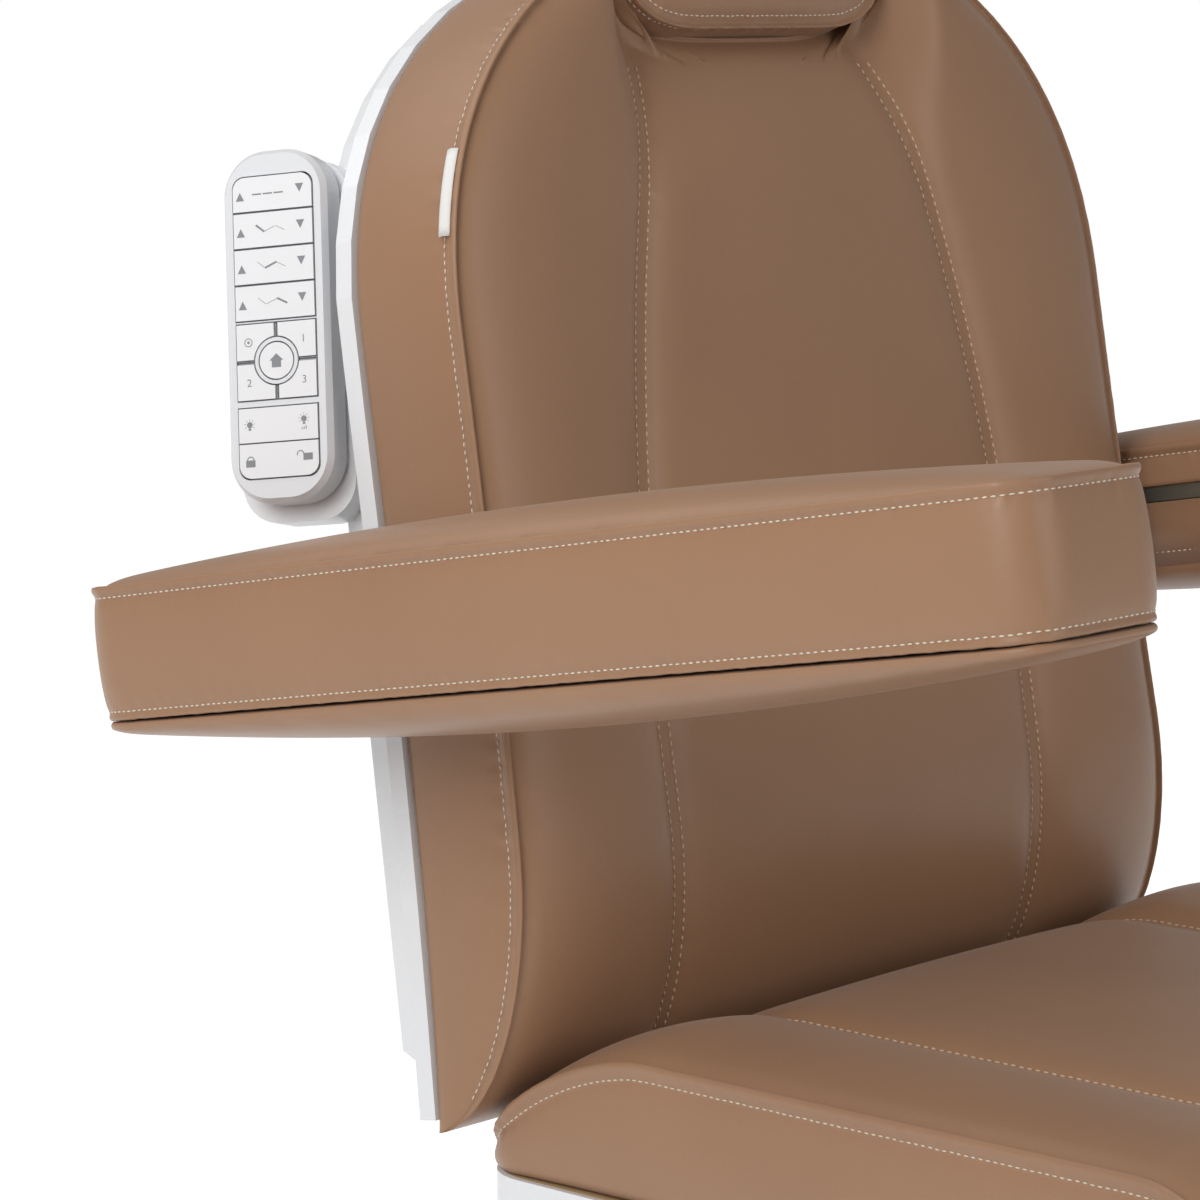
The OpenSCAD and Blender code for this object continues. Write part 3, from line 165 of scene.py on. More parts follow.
# %% Hard finishes
def moulded(name, colour, roughness, wave=14.0, depth=0.05):
    material, shader = surface(name, colour, roughness)
    place = add(material, "ShaderNodeTexCoord").outputs["Object"]
    waves = add(material, "ShaderNodeTexNoise", {"Vector": place, "Scale": wave, "Detail": 2.0})
    haze = add(material, "ShaderNodeMapRange",
               {"Value": waves.outputs["Fac"],
                "To Min": roughness - 0.04, "To Max": roughness + 0.05})
    material.node_tree.links.new(haze.outputs["Result"], shader.inputs["Roughness"])
    bump(material, shader, waves.outputs["Fac"], depth * MM, 0.5)
    return material


def coated(name, colour, roughness=0.45):
    material, shader = surface(name, colour, roughness)
    place = add(material, "ShaderNodeTexCoord").outputs["Object"]
    peel = add(material, "ShaderNodeTexNoise", {"Vector": place, "Scale": 700.0, "Detail": 1.0})
    bump(material, shader, peel.outputs["Fac"], 0.08 * MM, 0.5)
    return material


def drawn_steel(name, colour, roughness, along):
    material, shader = surface(name, colour, roughness, Metallic=1.0)
    place = add(material, "ShaderNodeTexCoord").outputs["Object"]
    stretch = add(material, "ShaderNodeMapping", {"Vector": place, "Scale": along})
    lines = add(material, "ShaderNodeTexNoise", {"Vector": stretch.outputs["Vector"], "Scale": 40.0,
                                                 "Detail": 3.0})
    haze = add(material, "ShaderNodeMapRange", {"Value": lines.outputs["Fac"],
                                                "To Min": roughness - 0.06, "To Max": roughness + 0.1})
    material.node_tree.links.new(haze.outputs["Result"], shader.inputs["Roughness"])
    bump(material, shader, lines.outputs["Fac"], 0.02 * MM, 0.4)
    return material


def plywood(name):
    material, shader = surface(name, "#c9ab7c", 0.65)
    place = add(material, "ShaderNodeTexCoord").outputs["Object"]
    stretch = add(material, "ShaderNodeMapping", {"Vector": place, "Scale": (12, 1.2, 60)})
    rings = add(material, "ShaderNodeTexNoise", {"Vector": stretch.outputs["Vector"], "Scale": 6.0,
                                                 "Detail": 5.0})
    tone = add(material, "ShaderNodeMix", {"Factor": rings.outputs["Fac"]}, data_type="RGBA")
    tone.inputs["A"].default_value = linear("#d8bd90")
    tone.inputs["B"].default_value = linear("#a9845a")
    material.node_tree.links.new(tone.outputs["Result"], shader.inputs["Base Color"])
    bump(material, shader, rings.outputs["Fac"], 0.1 * MM, 0.4)
    return material


finishes = {
    "white_moulding": moulded("abs_white_polished", "#e9eaec", 0.28),
    "keypad_case": moulded("abs_white_keypad", "#dfe0e3", 0.3, 40.0),
    "keypad_key": moulded("abs_white_keys", "#e8e8ea", 0.38, 90.0),
    "frame_steel": coated("powder_coat_graphite", "#4a4d52"),
    "column_steel": coated("powder_coat_white", "#dcdde0", 0.38),
    "bright_steel": drawn_steel("zinc_plated_steel", "#b9bcc0", 0.32, (60, 4, 60)),
    "rod_steel": drawn_steel("hard_chrome_rod", "#c7cacd", 0.14, (90, 6, 90)),
    "actuator_case": moulded("glass_filled_nylon", "#3b3d41", 0.55, 300.0, 0.12),
    "arm_steel": drawn_steel("mill_finish_steel", "#8d9088", 0.4, (60, 3, 60)),
    "plywood": plywood("birch_plywood"),
    "foot_rubber": moulded("moulded_rubber", "#2b2c2e", 0.75, 500.0, 0.1),
    "inlet_black": moulded("glass_filled_nylon_black", "#1f2022", 0.45, 300.0, 0.1),
    "circuit_board": moulded("solder_mask_green", "#2f6b46", 0.35, 400.0, 0.05),
    "upholstery": upholstery,
}
for part in frame["record"]["subparts"]:
    mesh = nodes[part["node"]].data
    mesh.materials.clear()
    mesh.materials.append(finishes[part["material_slot"]])
print("finishes:", len(finishes))

# %% [markdown]
# ## Padding
# Each cushion is a front panel, sewn to a side panel along its rim. A flat grid is the cloth
# before sewing: it is warped to the cushion's outline, raised to its crown, and its rim is
# extruded down in rings for the side panel. The rings near the rim form the fold that the
# seam makes. Stitches then pull the skin in and leave small puckers.

# %% Shapes that the padding shares
def rise(distance, reach, power):
    left = 1 - np.clip(distance, 0, reach) / reach
    return (1 - left**power) ** (1 / power)


def smooth(low, high, value):
    t = np.clip((value - low) / (high - low), 0, 1)
    return t * t * (3 - 2 * t)


def spaced(*pieces):
    """Joins (from, to, steps) pieces into one rising list of places."""
    places = [pieces[0][0]]
    for start, end, steps in pieces:
        places += [start + (end - start) * (k + 1) / steps for k in range(steps)]
    return np.array(places)


def round_corners(across, along, half_w, low, high, r_low, r_high, power=2.0):
    """Bends the corners of a rectangle of places into round ones."""
    across, along = across.copy(), along.copy()
    for r, edge, way in ((r_low, low, -1), (r_high, high, 1)):
        p = (np.abs(across) - (half_w - r)) / r
        q = (along - (edge - way * r)) / r * way
        inside = (p > 0) & (q > 0)
        p, q = np.where(inside, p, 1), np.where(inside, q, 1)
        pull = np.maximum(p, q) / (p**power + q**power) ** (1 / power)
        side = np.sign(across)
        across = np.where(inside, side * (half_w - r + p * pull * r), across)
        along = np.where(inside, edge - way * r + way * q * pull * r, along)
    return across, along


def rim_of(shape):
    """The open rim of a mesh as vertices in order, anticlockwise seen from the front."""
    edges = [e for e in shape.edges if e.is_boundary]
    start = edges[0]
    face = start.link_faces[0]
    loop = next(l for l in face.loops if l.edge == start)
    order, here = [loop.vert], loop.link_loop_next.vert
    while here != order[0]:
        order.append(here)
        here = next(e.other_vert(here) for e in here.link_edges
                    if e.is_boundary and e.other_vert(here) not in order[-2:])
    return order


def nearest(points):
    tree = KDTree(len(points))
    for k, p in enumerate(points):
        tree.insert(p, k)
    tree.balance()
    return tree


def dense(points, step=1.0, closed=False):
    """Points along a line at an even spacing, with their distance along it."""
    points = np.array(points, float)
    if closed:
        points = np.vstack([points, points[:1]])
    reach = np.r_[0, np.cumsum(np.linalg.norm(np.diff(points, axis=0), axis=1))]
    at = np.arange(0, reach[-1], step)
    return np.stack([np.interp(at, reach, points[:, k]) for k in range(points.shape[1])], 1), at


def wobble(at, seed, waves=7, longest=26.0, shortest=6.0):
    """A smooth irregular ripple along a seam, the same on every run."""
    draw = np.random.default_rng(seed)
    total = np.zeros_like(at)
    for _ in range(waves):
        total += np.sin(2 * math.pi * (at / draw.uniform(shortest, longest) + draw.uniform()))
    return total / math.sqrt(waves)


class Cushion:
    """A sewn cushion in its own millimetres: across, along and up from its board."""

    def __init__(self, name, places, columns, rows, plan, crown, fold, side, floor):
        self.name, self.places = name, places
        shape = bmesh.new()
        bmesh.ops.create_grid(shape, x_segments=len(columns) - 1,
                              y_segments=len(rows) - 1, size=0.5)
        grid = np.array([v.co[:] for v in shape.verts])
        i = np.rint((grid[:, 0] + 0.5) * (len(columns) - 1)).astype(int)
        j = np.rint((grid[:, 1] + 0.5) * (len(rows) - 1)).astype(int)
        across, along = plan(columns[i], rows[j])
        for v, a, b in zip(shape.verts, across, along):
            v.co = (a, b, 0)
        rim = rim_of(shape)
        self.rim = np.array([v.co[:2] for v in rim])
        ahead, behind = np.roll(self.rim, -1, 0), np.roll(self.rim, 1, 0)
        out = np.stack([(ahead - behind)[:, 1], -(ahead - behind)[:, 0]], 1)
        self.out = out / np.linalg.norm(out, axis=1)[:, None]
        line, _ = dense(self.rim, 1.5, True)
        tree = nearest([(a, b, 0) for a, b in line])
        inward = np.array([tree.find((a, b, 0))[2] for a, b in zip(across, along)])
        for v, h in zip(shape.verts, crown(across, along, inward)):
            v.co.z = h
        self.fold = fold(self.rim[:, 0], self.rim[:, 1])
        self.floor = floor(self.rim[:, 0], self.rim[:, 1])
        # The side panel, ring by ring.
        ring = rim
        for out_by, drop, share in side:
            loop = [e for e in shape.edges if e.is_boundary]
            made = bmesh.ops.extrude_edge_only(shape, edges=loop)["geom"]
            new = {v for v in made if isinstance(v, bmesh.types.BMVert)}
            old = ring
            ring = [next(e.other_vert(v) for e in v.link_edges if e.other_vert(v) in new)
                    for v in old]
            scale = np.clip((self.fold - self.floor) / 40, 0.02, 1)
            height = (self.fold - drop * scale) * (1 - share) + self.floor * share
            for k, v in enumerate(ring):
                push = self.out[k] * out_by * min(1, scale[k] * 2)
                v.co = (self.rim[k][0] + push[0], self.rim[k][1] + push[1], height[k])
        self.shape, self.last = shape, ring

    def close(self):
        """Closes a flat underside with one face, cut into triangles."""
        edges = [e for e in self.shape.edges if e.is_boundary]
        face = bmesh.ops.contextual_create(self.shape, geom=edges)["faces"]
        bmesh.ops.triangulate(self.shape, faces=face)
        return self

    def refine(self, levels=1):
        """Subdivides the cushion, so that puckers have points to move."""
        bmesh.ops.recalc_face_normals(self.shape, faces=self.shape.faces)
        mesh = bpy.data.meshes.new(self.name)
        self.shape.to_mesh(mesh)
        self.shape.free()
        piece = bpy.data.objects.new(self.name, mesh)
        bpy.context.scene.collection.objects.link(piece)
        smoother = piece.modifiers.new("subdivision", "SUBSURF")
        smoother.levels = smoother.render_levels = levels
        smoother.boundary_smooth = "PRESERVE_CORNERS"
        final = bpy.data.meshes.new_from_object(
            piece.evaluated_get(bpy.context.evaluated_depsgraph_get()))
        piece.modifiers.clear()
        piece.data = final
        self.piece = piece
        return self

    def pull_in(self, runs, depth, width, ripple, reach, seed):
        """Draws the skin in along stitched lines and puckers it beside them."""
        points, at = [], []
        for k, run in enumerate(runs):
            line, along = dense(run, 1.5)
            points += [tuple(p) for p in line]
            at += list(along + 1000 * k)
        tree, at = nearest(points), np.array(at)
        mesh = self.piece.data
        found = [tree.find(v.co) for v in mesh.vertices]
        far = np.array([f[2] for f in found])
        along = at[[f[1] for f in found]]
        puckers = wobble(along + far * 0.3, seed) * ripple * np.exp(-far / reach)
        move = -depth * np.exp(-((far / width) ** 2)) + puckers * np.exp(-((far - 3) ** 2) / 90)
        places = np.array([v.co[:] for v in mesh.vertices])
        normals = np.array([n.vector[:] for n in mesh.vertex_normals])
        mesh.vertices.foreach_set("co", (places + normals * move[:, None]).ravel())
        mesh.update()
        return self

    def stitch(self, name, runs, pitch, radius, material, body):
        """Lays a row of thread along each line, on the finished skin."""
        mesh = self.piece.data
        skin = BVHTree.FromPolygons([v.co for v in mesh.vertices],
                                    [p.vertices for p in mesh.polygons])
        bead = bmesh.new()
        bmesh.ops.create_uvsphere(bead, u_segments=5, v_segments=4, radius=1)
        round_bead = np.array([v.co[:] for v in bead.verts])
        bead_faces = [[v.index for v in f.verts] for f in bead.faces]
        bead.free()
        points, faces = [], []
        for run in runs:
            line, _ = dense(run, pitch)
            on = [skin.find_nearest(Vector(p)) for p in line]
            for (p, n, _, _), (q, m, _, _) in zip(on, on[1:]):
                way = (q - p).normalized()
                up = (n + m).normalized()
                across = up.cross(way).normalized()
                turn = np.array((way * pitch * 0.38, across * radius,
                                 way.cross(across) * radius * 0.8))
                centre = (p + q) / 2 + up * radius * 0.25
                faces += [[k + len(points) * len(round_bead) for k in f] for f in bead_faces]
                points.append(round_bead @ turn + np.array(centre))
        threads = bpy.data.meshes.new(name)
        threads.from_pydata(np.concatenate(points).tolist(), [], faces)
        piece = bpy.data.objects.new(name, threads)
        bpy.context.scene.collection.objects.link(piece)
        dress(piece, material, self.places)
        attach(piece, body)
        return piece

    def finish(self, body, *replaced, fill=0.8):
        dress(self.piece, upholstery, self.places)
        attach(self.piece, body)
        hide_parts(*replaced)
        print(self.name, "triangles:", sum(len(p.vertices) - 2 for p in self.piece.data.polygons))
        return self.piece


def dress(piece, material, places):
    """Gives a piece its finish and moves its mesh to its place on the chair."""
    piece.data.transform(places @ Matrix.Scale(MM, 4))
    if places.to_3x3().determinant() < 0:
        piece.data.flip_normals()
    piece.data.materials.clear()
    piece.data.materials.append(material)
    for face in piece.data.polygons:
        face.use_smooth = True


# %% [markdown]
# ## Backrest padding
# It is a tall panel with a round head and a shallow notch for the headrest. Two double rows
# of stitches divide it into a middle panel and two bolsters, and its foot rolls in under.

# %% Backrest outline
LEAN = math.radians(9.8)
SEAT_Z, BACK_Y = 500, 325
up_back = Vector((0, math.sin(LEAN), math.cos(LEAN)))
out_back = Vector((0, -math.cos(LEAN), math.sin(LEAN)))
at_back = Vector((0, BACK_Y, SEAT_Z)) * MM
back_places = Matrix.Translation(at_back) @ Matrix(
    ((1, 0, 0), up_back, out_back)).transposed().to_4x4()
BACK_FOOT, BACK_STRAIGHT, BACK_TOP = 18, 440, 666
BACK_HALF, BACK_FLARE, EDGE_IN = 287, 17, 1.5
NOTCH, NOTCH_HALF, NOTCH_R, NOTCH_POWER = 599, 128, 80, 3.4
SIDE_T, FOOT_REACH = 79, 150


def back_half(s):
    flare = BACK_FLARE * (1 - np.clip(s, 0, BACK_STRAIGHT) / BACK_STRAIGHT) ** 2
    head = rise(BACK_TOP - s, BACK_TOP - BACK_STRAIGHT, 2.3)
    return np.where(s < BACK_STRAIGHT, BACK_HALF + flare, BACK_HALF * head) - EDGE_IN


def seam_at(s):
    return 166 - 75 * (np.maximum(s - 200, 0) / 420) ** 2.1


def notch_at(x):
    across = np.clip(np.abs(x) / NOTCH_HALF, 0, 1)
    sine = (1 - across**NOTCH_POWER) ** (1 / NOTCH_POWER)
    return NOTCH + NOTCH_R * (1 - sine)


def head_at(x):
    share = np.clip(np.abs(x) / (BACK_HALF - EDGE_IN), 0, 1)
    return BACK_STRAIGHT + (BACK_TOP - BACK_STRAIGHT) * (1 - share**2.3) ** (1 / 2.3)


def back_plan(u, v):
    """u runs 0 at the middle, 1 at the stitched seam, 2 at the side. v is the height."""
    side, u = np.sign(u), np.abs(u)
    rows = np.minimum(v, BACK_STRAIGHT)
    seam, edge = seam_at(rows), back_half(rows)
    x = np.where(u < 1, u * seam, seam + (u - 1) * (edge - seam))
    # The head: bend the upper part of the grid into a superellipse.
    p, q = x / edge, np.clip((v - BACK_STRAIGHT) / (BACK_TOP - BACK_STRAIGHT), 0, 1)
    power = 2.3
    with np.errstate(divide="ignore", invalid="ignore"):
        pull = np.where(q > 0, np.maximum(p, q) / (p**power + q**power) ** (1 / power), 1)
    s = np.where(q > 0, BACK_STRAIGHT + q * pull * (BACK_TOP - BACK_STRAIGHT), v)
    x = np.where(q > 0, p * pull * edge, x)
    # Keep the seam's column on the seam.
    line_q = np.linspace(0, 1, 60)
    line_p = seam_at(BACK_STRAIGHT) / back_half(np.array(BACK_STRAIGHT))
    line_pull = np.maximum(line_p, line_q) / (line_p**power + line_q**power) ** (1 / power)
    line_s = BACK_STRAIGHT + line_q * line_pull * (BACK_TOP - BACK_STRAIGHT)
    line_x = line_p * line_pull * back_half(np.array(BACK_STRAIGHT))
    drawn = np.where(s > BACK_STRAIGHT, np.interp(s, line_s, line_x), 0)
    wide, want = back_half(s), seam_at(s)
    inner = x * want / np.maximum(drawn, 1)
    outer = want + (x - drawn) * (wide - want) / np.maximum(wide - drawn, 1)
    head = (s > BACK_STRAIGHT) & (wide > drawn + 5) & (s < line_s[-1])
    fixed = np.where(x < drawn, inner, outer)
    x = np.where(head, fixed, x)
    # The notch: press the top of the grid down to it.
    low = 470
    top, goal = head_at(x), np.minimum(head_at(x), notch_at(x))
    press = np.where(s > low, (goal - low) / np.maximum(top - low, 1), 1)
    s = np.where(s > low, low + (s - low) * press, s)
    return side * x, s


def back_grown(s):
    return rise(s - BACK_FOOT, FOOT_REACH, 1.9)


def back_dip(x, s):
    deep = 24 * (np.maximum(s - 500, 0) / (NOTCH - 500)) ** 2
    return np.minimum(deep, 26) * (1 - smooth(105, 150, np.abs(x)))


def back_fold(x, s):
    return SIDE_T * back_grown(s) - back_dip(x, s)


def back_crown(x, s, inward):
    seam, edge = seam_at(s), back_half(s)
    off = np.abs(x) - seam
    q = np.clip(off / np.maximum(edge - seam, 30), 0, 1)
    bolster = 10 * (1 - q**4) * (1 - (1 - q) ** 2.2)
    middle = 2.5 * (1 - (np.abs(x) / seam) ** 2) * (off < 0)
    valley = 4 * np.exp(-((off / 13) ** 2))
    lip = 5 * np.exp(-inward / 7)
    top = SIDE_T + 2.5 + bolster + middle - valley - lip * smooth(0, 12, SIDE_T * back_grown(s))
    return np.maximum(top * back_grown(s) - back_dip(x, s), 0.4)


SIDE_RINGS = [(1.0, -2.0, 0), (2.2, -1.6, 0), (3.0, 0.3, 0), (2.9, 2.6, 0), (1.6, 5.5, 0),
              (0.2, 8.5, 0), (0.9, 12, 0), (2.0, 14, 0.15), (2.6, 14, 0.4), (2.0, 14, 0.68),
              (0.8, 14, 0.88), (-0.6, 14, 0.97), (-2.2, 14, 1)]

# %% Backrest cushion
half_columns = spaced((0, 0.9, 16), (0.9, 1, 4), (1, 1.1, 4),
                      (1.1, 1.9, 15), (1.9, 1.98, 4), (1.98, 2, 2))
back_columns = np.r_[-half_columns[:0:-1], half_columns]
back_rows = np.r_[BACK_FOOT + FOOT_REACH * np.linspace(0, 1, 28) ** 1.8,
                  spaced((BACK_FOOT + FOOT_REACH, 650, 84))[1:], 655, 660, 664, 666]
back = Cushion("back_padding", back_places, back_columns, back_rows, back_plan, back_crown,
               back_fold, SIDE_RINGS, lambda a, b: 0.4 + a * 0)
back.close().refine()


def back_seam_run(offset, side):
    heights = np.arange(34, 594, 4.0)
    x = seam_at(heights) + offset
    return np.stack([side * x, heights, back_crown(x, heights, heights * 0 + 99)], 1)


seam_runs = [back_seam_run(o, s) for s in (-1, 1) for o in (-4.3, 4.3)]
fold_run = np.c_[back.rim + back.out * 0.3, back.fold - 8.5 * np.clip(back.fold / 40, 0.02, 1)]
start = int(np.argmin(back.rim[:, 1] + np.abs(back.rim[:, 0])))
fold_run = np.roll(fold_run, -start, 0)
fold_run = fold_run[fold_run[:, 1] > 32]
back.pull_in(seam_runs, 1.0, 3.0, 0.16, 9, 3)
back.pull_in([fold_run], 0.5, 3.0, 0.35, 9, 5)
back.stitch("back_seam_threads", seam_runs, 5.2, 0.7, tan_thread, "back")
back.stitch("back_edge_threads", [fold_run], 4.4, 0.5, pale_thread, "back")
back.finish("back", "back_cushion")

# %% [markdown]
# ## Seat and leg rest padding
# Both are wide panels that roll down to their boards at each end, with the same two double
# rows of stitches as the backrest. The leg rest narrows a little to its foot and hangs down.

# %% Panels of the seat and the leg rest
PANEL_T = 77
PANEL_SIDE = [(1.0, -2.0, 0), (2.2, -1.6, 0), (3.0, 0.3, 0), (2.9, 2.6, 0), (1.6, 5.5, 0),
              (0.2, 8.5, 0), (0.9, 12, 0), (2.0, 14, 0.2), (2.6, 14, 0.5), (1.8, 14, 0.8),
              (0.2, 14, 0.95), (-2.2, 14, 1)]


class Panel:
    """Sizes and curves of a wide cushion that rolls off at both ends."""

    def __init__(self, rear_w, front_w, length, rear_reach, front_reach, roll, seam):
        self.rear_w, self.front_w, self.length = rear_w, front_w, length
        self.reaches, self.roll, self.seam = (rear_reach, front_reach), roll, seam

    def half(self, b):
        return (self.rear_w + (self.front_w - self.rear_w) * b / self.length) / 2

    def plan(self, u, b):
        side, u = np.sign(u), np.abs(u)
        base = self.rear_w / 2
        a = np.where(u < 1, u * self.seam, self.seam + (u - 1) * (base - self.seam))
        a, b = round_corners(side * a, b, base, 0, self.length, 30, 30)
        return a * self.half(b) / base, b

    def grown(self, b):
        rear, front = self.reaches
        return np.minimum(rise(b, rear, self.roll), rise(self.length - b, front, 2))

    def fold(self, a, b):
        return PANEL_T * self.grown(b)

    def crown(self, a, b, inward):
        edge = self.half(b)
        seam = self.seam * edge * 2 / self.rear_w
        off = np.abs(a) - seam
        q = np.clip(off / (edge - seam), 0, 1)
        bolster = 10 * (1 - q**4) * (1 - (1 - q) ** 2.2)
        middle = 3 * (1 - (a / seam) ** 2) * (off < 0)
        valley = 4.5 * np.exp(-((off / 13) ** 2))
        grown = self.grown(b)
        lip = 5 * np.exp(-inward / 7) * smooth(0, 12, PANEL_T * grown)
        return np.maximum((PANEL_T + 4.5 + bolster + middle - valley - lip) * grown, 0.4)

    def rows(self):
        rear, front = self.reaches
        ends = np.linspace(0, 1, 24) ** 1.8
        steps = int((self.length - rear - front) / 6)
        return np.r_[rear * ends, spaced((rear, self.length - front, steps))[1:],
                     (self.length - front * ends)[::-1][1:]]

    def seam_run(self, offset, side):
        b = np.arange(8, self.length - 8, 4.0)
        a = self.seam * self.half(b) * 2 / self.rear_w + offset
        return np.stack([side * a, b, self.crown(a, b, b * 0 + 99)], 1)

    def sew(self, name, places, body, replaced, seed):
        cushion = Cushion(name + "_padding", places, back_columns, self.rows(), self.plan,
                          self.crown, self.fold, PANEL_SIDE, lambda a, b: 0.4 + a * 0)
        cushion.close().refine()
        runs = [self.seam_run(o, s) for s in (-1, 1) for o in (-4.3, 4.3)]
        edges = []
        for side in (-1, 1):
            here = (np.sign(cushion.rim[:, 0]) == side) & (cushion.fold > 16)
            order = np.argsort(cushion.rim[here, 1])
            drop = 8.5 * np.clip(cushion.fold[here] / 40, 0.02, 1)
            line = np.c_[cushion.rim[here] + cushion.out[here] * 0.3, cushion.fold[here] - drop]
            edges.append(line[order])
        cushion.pull_in(runs, 1.0, 3.0, 0.2, 9, seed)
        cushion.pull_in(edges, 0.5, 3.0, 0.35, 9, seed + 1)
        cushion.stitch(name + "_seam_threads", runs, 5.2, 0.7, tan_thread, body)
        cushion.stitch(name + "_edge_threads", edges, 4.4, 0.5, pale_thread, body)
        cushion.finish(body, name + "_cushion")


# %% Seat and leg rest cushions
flat_places = Matrix.Translation(Vector((0, 311, SEAT_Z)) * MM) @ Matrix(
    ((-1, 0, 0), (0, -1, 0), (0, 0, 1))).transposed().to_4x4()
Panel(580, 580, 500, 120, 70, 1.6, 166).sew("seat", flat_places, "seat", "seat_cushion", 11)
hinge = Matrix.Translation(Vector((0, -203, 455)) * MM)
LEG_HANG = 65
leg_places = (hinge @ Matrix.Rotation(math.radians(LEG_HANG), 4, "X") @ hinge.inverted()
              @ Matrix.Translation(Vector((0, -219 - 311, 0)) * MM) @ flat_places)
Panel(580, 500, 460, 50, 80, 1.6, 136).sew("leg", leg_places, "leg_rest", "leg_cushion", 21)

# %% [markdown]
# ## Headrest
# A pillow in the backrest's notch. Its front panel is smaller than the pillow, so the side
# panel swells out past the seam, and the seam has stitches on either side of it.

# %% Headrest cushion
def head_crown(a, b, inward):
    swell = rise(np.minimum(b - 606, 803 - b), 96, 1.7)
    return 73 + 15 * (1 - (a / 125) ** 2) * swell - 4 * np.exp(-inward / 6)


def head_plan(a, b):
    return round_corners(a, b, 121, 606, 803, 72, 56, 2.9)


HEAD_SIDE = [(0.8, -1.2, 0), (1.8, -1.0, 0), (2.4, 0.3, 0), (2.2, 2.4, 0), (1.4, 4.5, 0),
             (1.6, 8, 0), (3.2, 12, 0), (5.2, 14, 0.2), (6.6, 14, 0.45), (6.4, 14, 0.7),
             (4.8, 14, 0.9), (2.6, 14, 1)]
head_columns = spaced((-121, 121, 56))
head_rows = spaced((606, 803, 48))
head = Cushion("headrest_padding", back_places, head_columns, head_rows, head_plan, head_crown,
               lambda a, b: 73 + a * 0, HEAD_SIDE, lambda a, b: 11.6 + a * 0)
head.close().refine()
inner_run = np.c_[head.rim - head.out * 4.5, head.fold + 1.5]
outer_run = np.c_[head.rim + head.out * 1.4, head.fold - 5]
head.pull_in([inner_run], 0.6, 2.6, 0.35, 8, 31)
head.pull_in([outer_run], 0.5, 2.6, 0.35, 8, 32)
head.stitch("headrest_threads", [inner_run, outer_run], 4.4, 0.5, pale_thread, "headrest")
head.finish("headrest", "headrest_cushion")

# %% [markdown]
# ## Armrests
# Each is an upper pad with a side panel between two seams, and a darker belly below. On the
# inner side a slot takes the steel arm, so the pad has a pocket there, which the belly's
# tongue fills up to the slot.

# %% Armrest pads and bellies
ARM_W, ARM_REAR, ARM_FRONT = 110, -105, 530
ARM_TOP, ARM_LOW, ARM_INNER, ARM_UNDER = 333, 262, 309.3, 298.7


def arm_plan(a, b):
    a, b = round_corners(a - ARM_W / 2, b, ARM_W / 2 - 2, ARM_REAR + 2, ARM_FRONT - 2, 30, 30, 2.4)
    return a + ARM_W / 2, b


def arm_arch(b):
    share = np.clip((b - ARM_REAR) / (ARM_FRONT - ARM_REAR), 0.001, 0.999)
    return np.sin(math.pi * share) ** 0.7


def arm_crown(a, b, inward):
    lip = 4 * np.exp(-inward / 5)
    swell = rise(inward, 50, 2.0)
    return ARM_TOP - 1 + 13.5 * arm_arch(b) * swell + 3.5 * rise(inward, 26, 2) - lip


def belly_crown(a, b, inward):
    return -(ARM_LOW - 4 - 18.5 * arm_arch(b) * rise(inward, 42, 1.9) - 2 * rise(inward, 20, 2))


ARM_SIDE = [(0.8, -1.4, 0), (1.6, -1.0, 0), (2.1, 0.3, 0), (2.0, 2.0, 0), (1.0, 4.0, 0),
            (0.7, 5.2, 0), (1.2, 8.5, 0), (1.9, 13, 0), (2.6, 14, 0.12), (3.0, 14, 0.3),
            (3.1, 14, 0.5), (2.7, 14, 0.7), (1.7, 14, 0.84), (1.1, 14, 0.9), (0.7, 14, 0.93),
            (1.1, 14, 0.965), (0.7, 14, 0.99), (-0.8, 14, 1)]
BELLY_SIDE = [(3.0, 0, 0.1), (4.0, 0, 0.35), (3.0, 0, 0.7), (-4.0, 0, 1)]
arm_columns = spaced((2, 10, 4), (10, 100, 20), (100, 108, 4))
arm_rows = spaced((ARM_REAR + 2, ARM_REAR + 12, 5), (ARM_REAR + 12, ARM_FRONT - 12, 140),
                  (ARM_FRONT - 12, ARM_FRONT - 2, 5))


def box_shape(name, low, high):
    shape = bmesh.new()
    bmesh.ops.create_cube(shape, size=1)
    for v in shape.verts:
        v.co = [l + (h - l) * (c + 0.5) for l, h, c in zip(low, high, v.co)]
    mesh = bpy.data.meshes.new(name)
    shape.to_mesh(mesh)
    shape.free()
    piece = bpy.data.objects.new(name, mesh)
    bpy.context.scene.collection.objects.link(piece)
    return piece


def joined(piece, tool, operation):
    cut = piece.modifiers.new("join", "BOOLEAN")
    cut.operation, cut.object, cut.solver = operation, tool, "EXACT"
    piece.data = bpy.data.meshes.new_from_object(
        piece.evaluated_get(bpy.context.evaluated_depsgraph_get()))
    piece.modifiers.clear()
    bpy.data.objects.remove(tool)


def arm_seam(cushion, height, out_by):
    rim = cushion.rim + cushion.out * out_by
    return np.c_[rim, np.full(len(rim), height)]


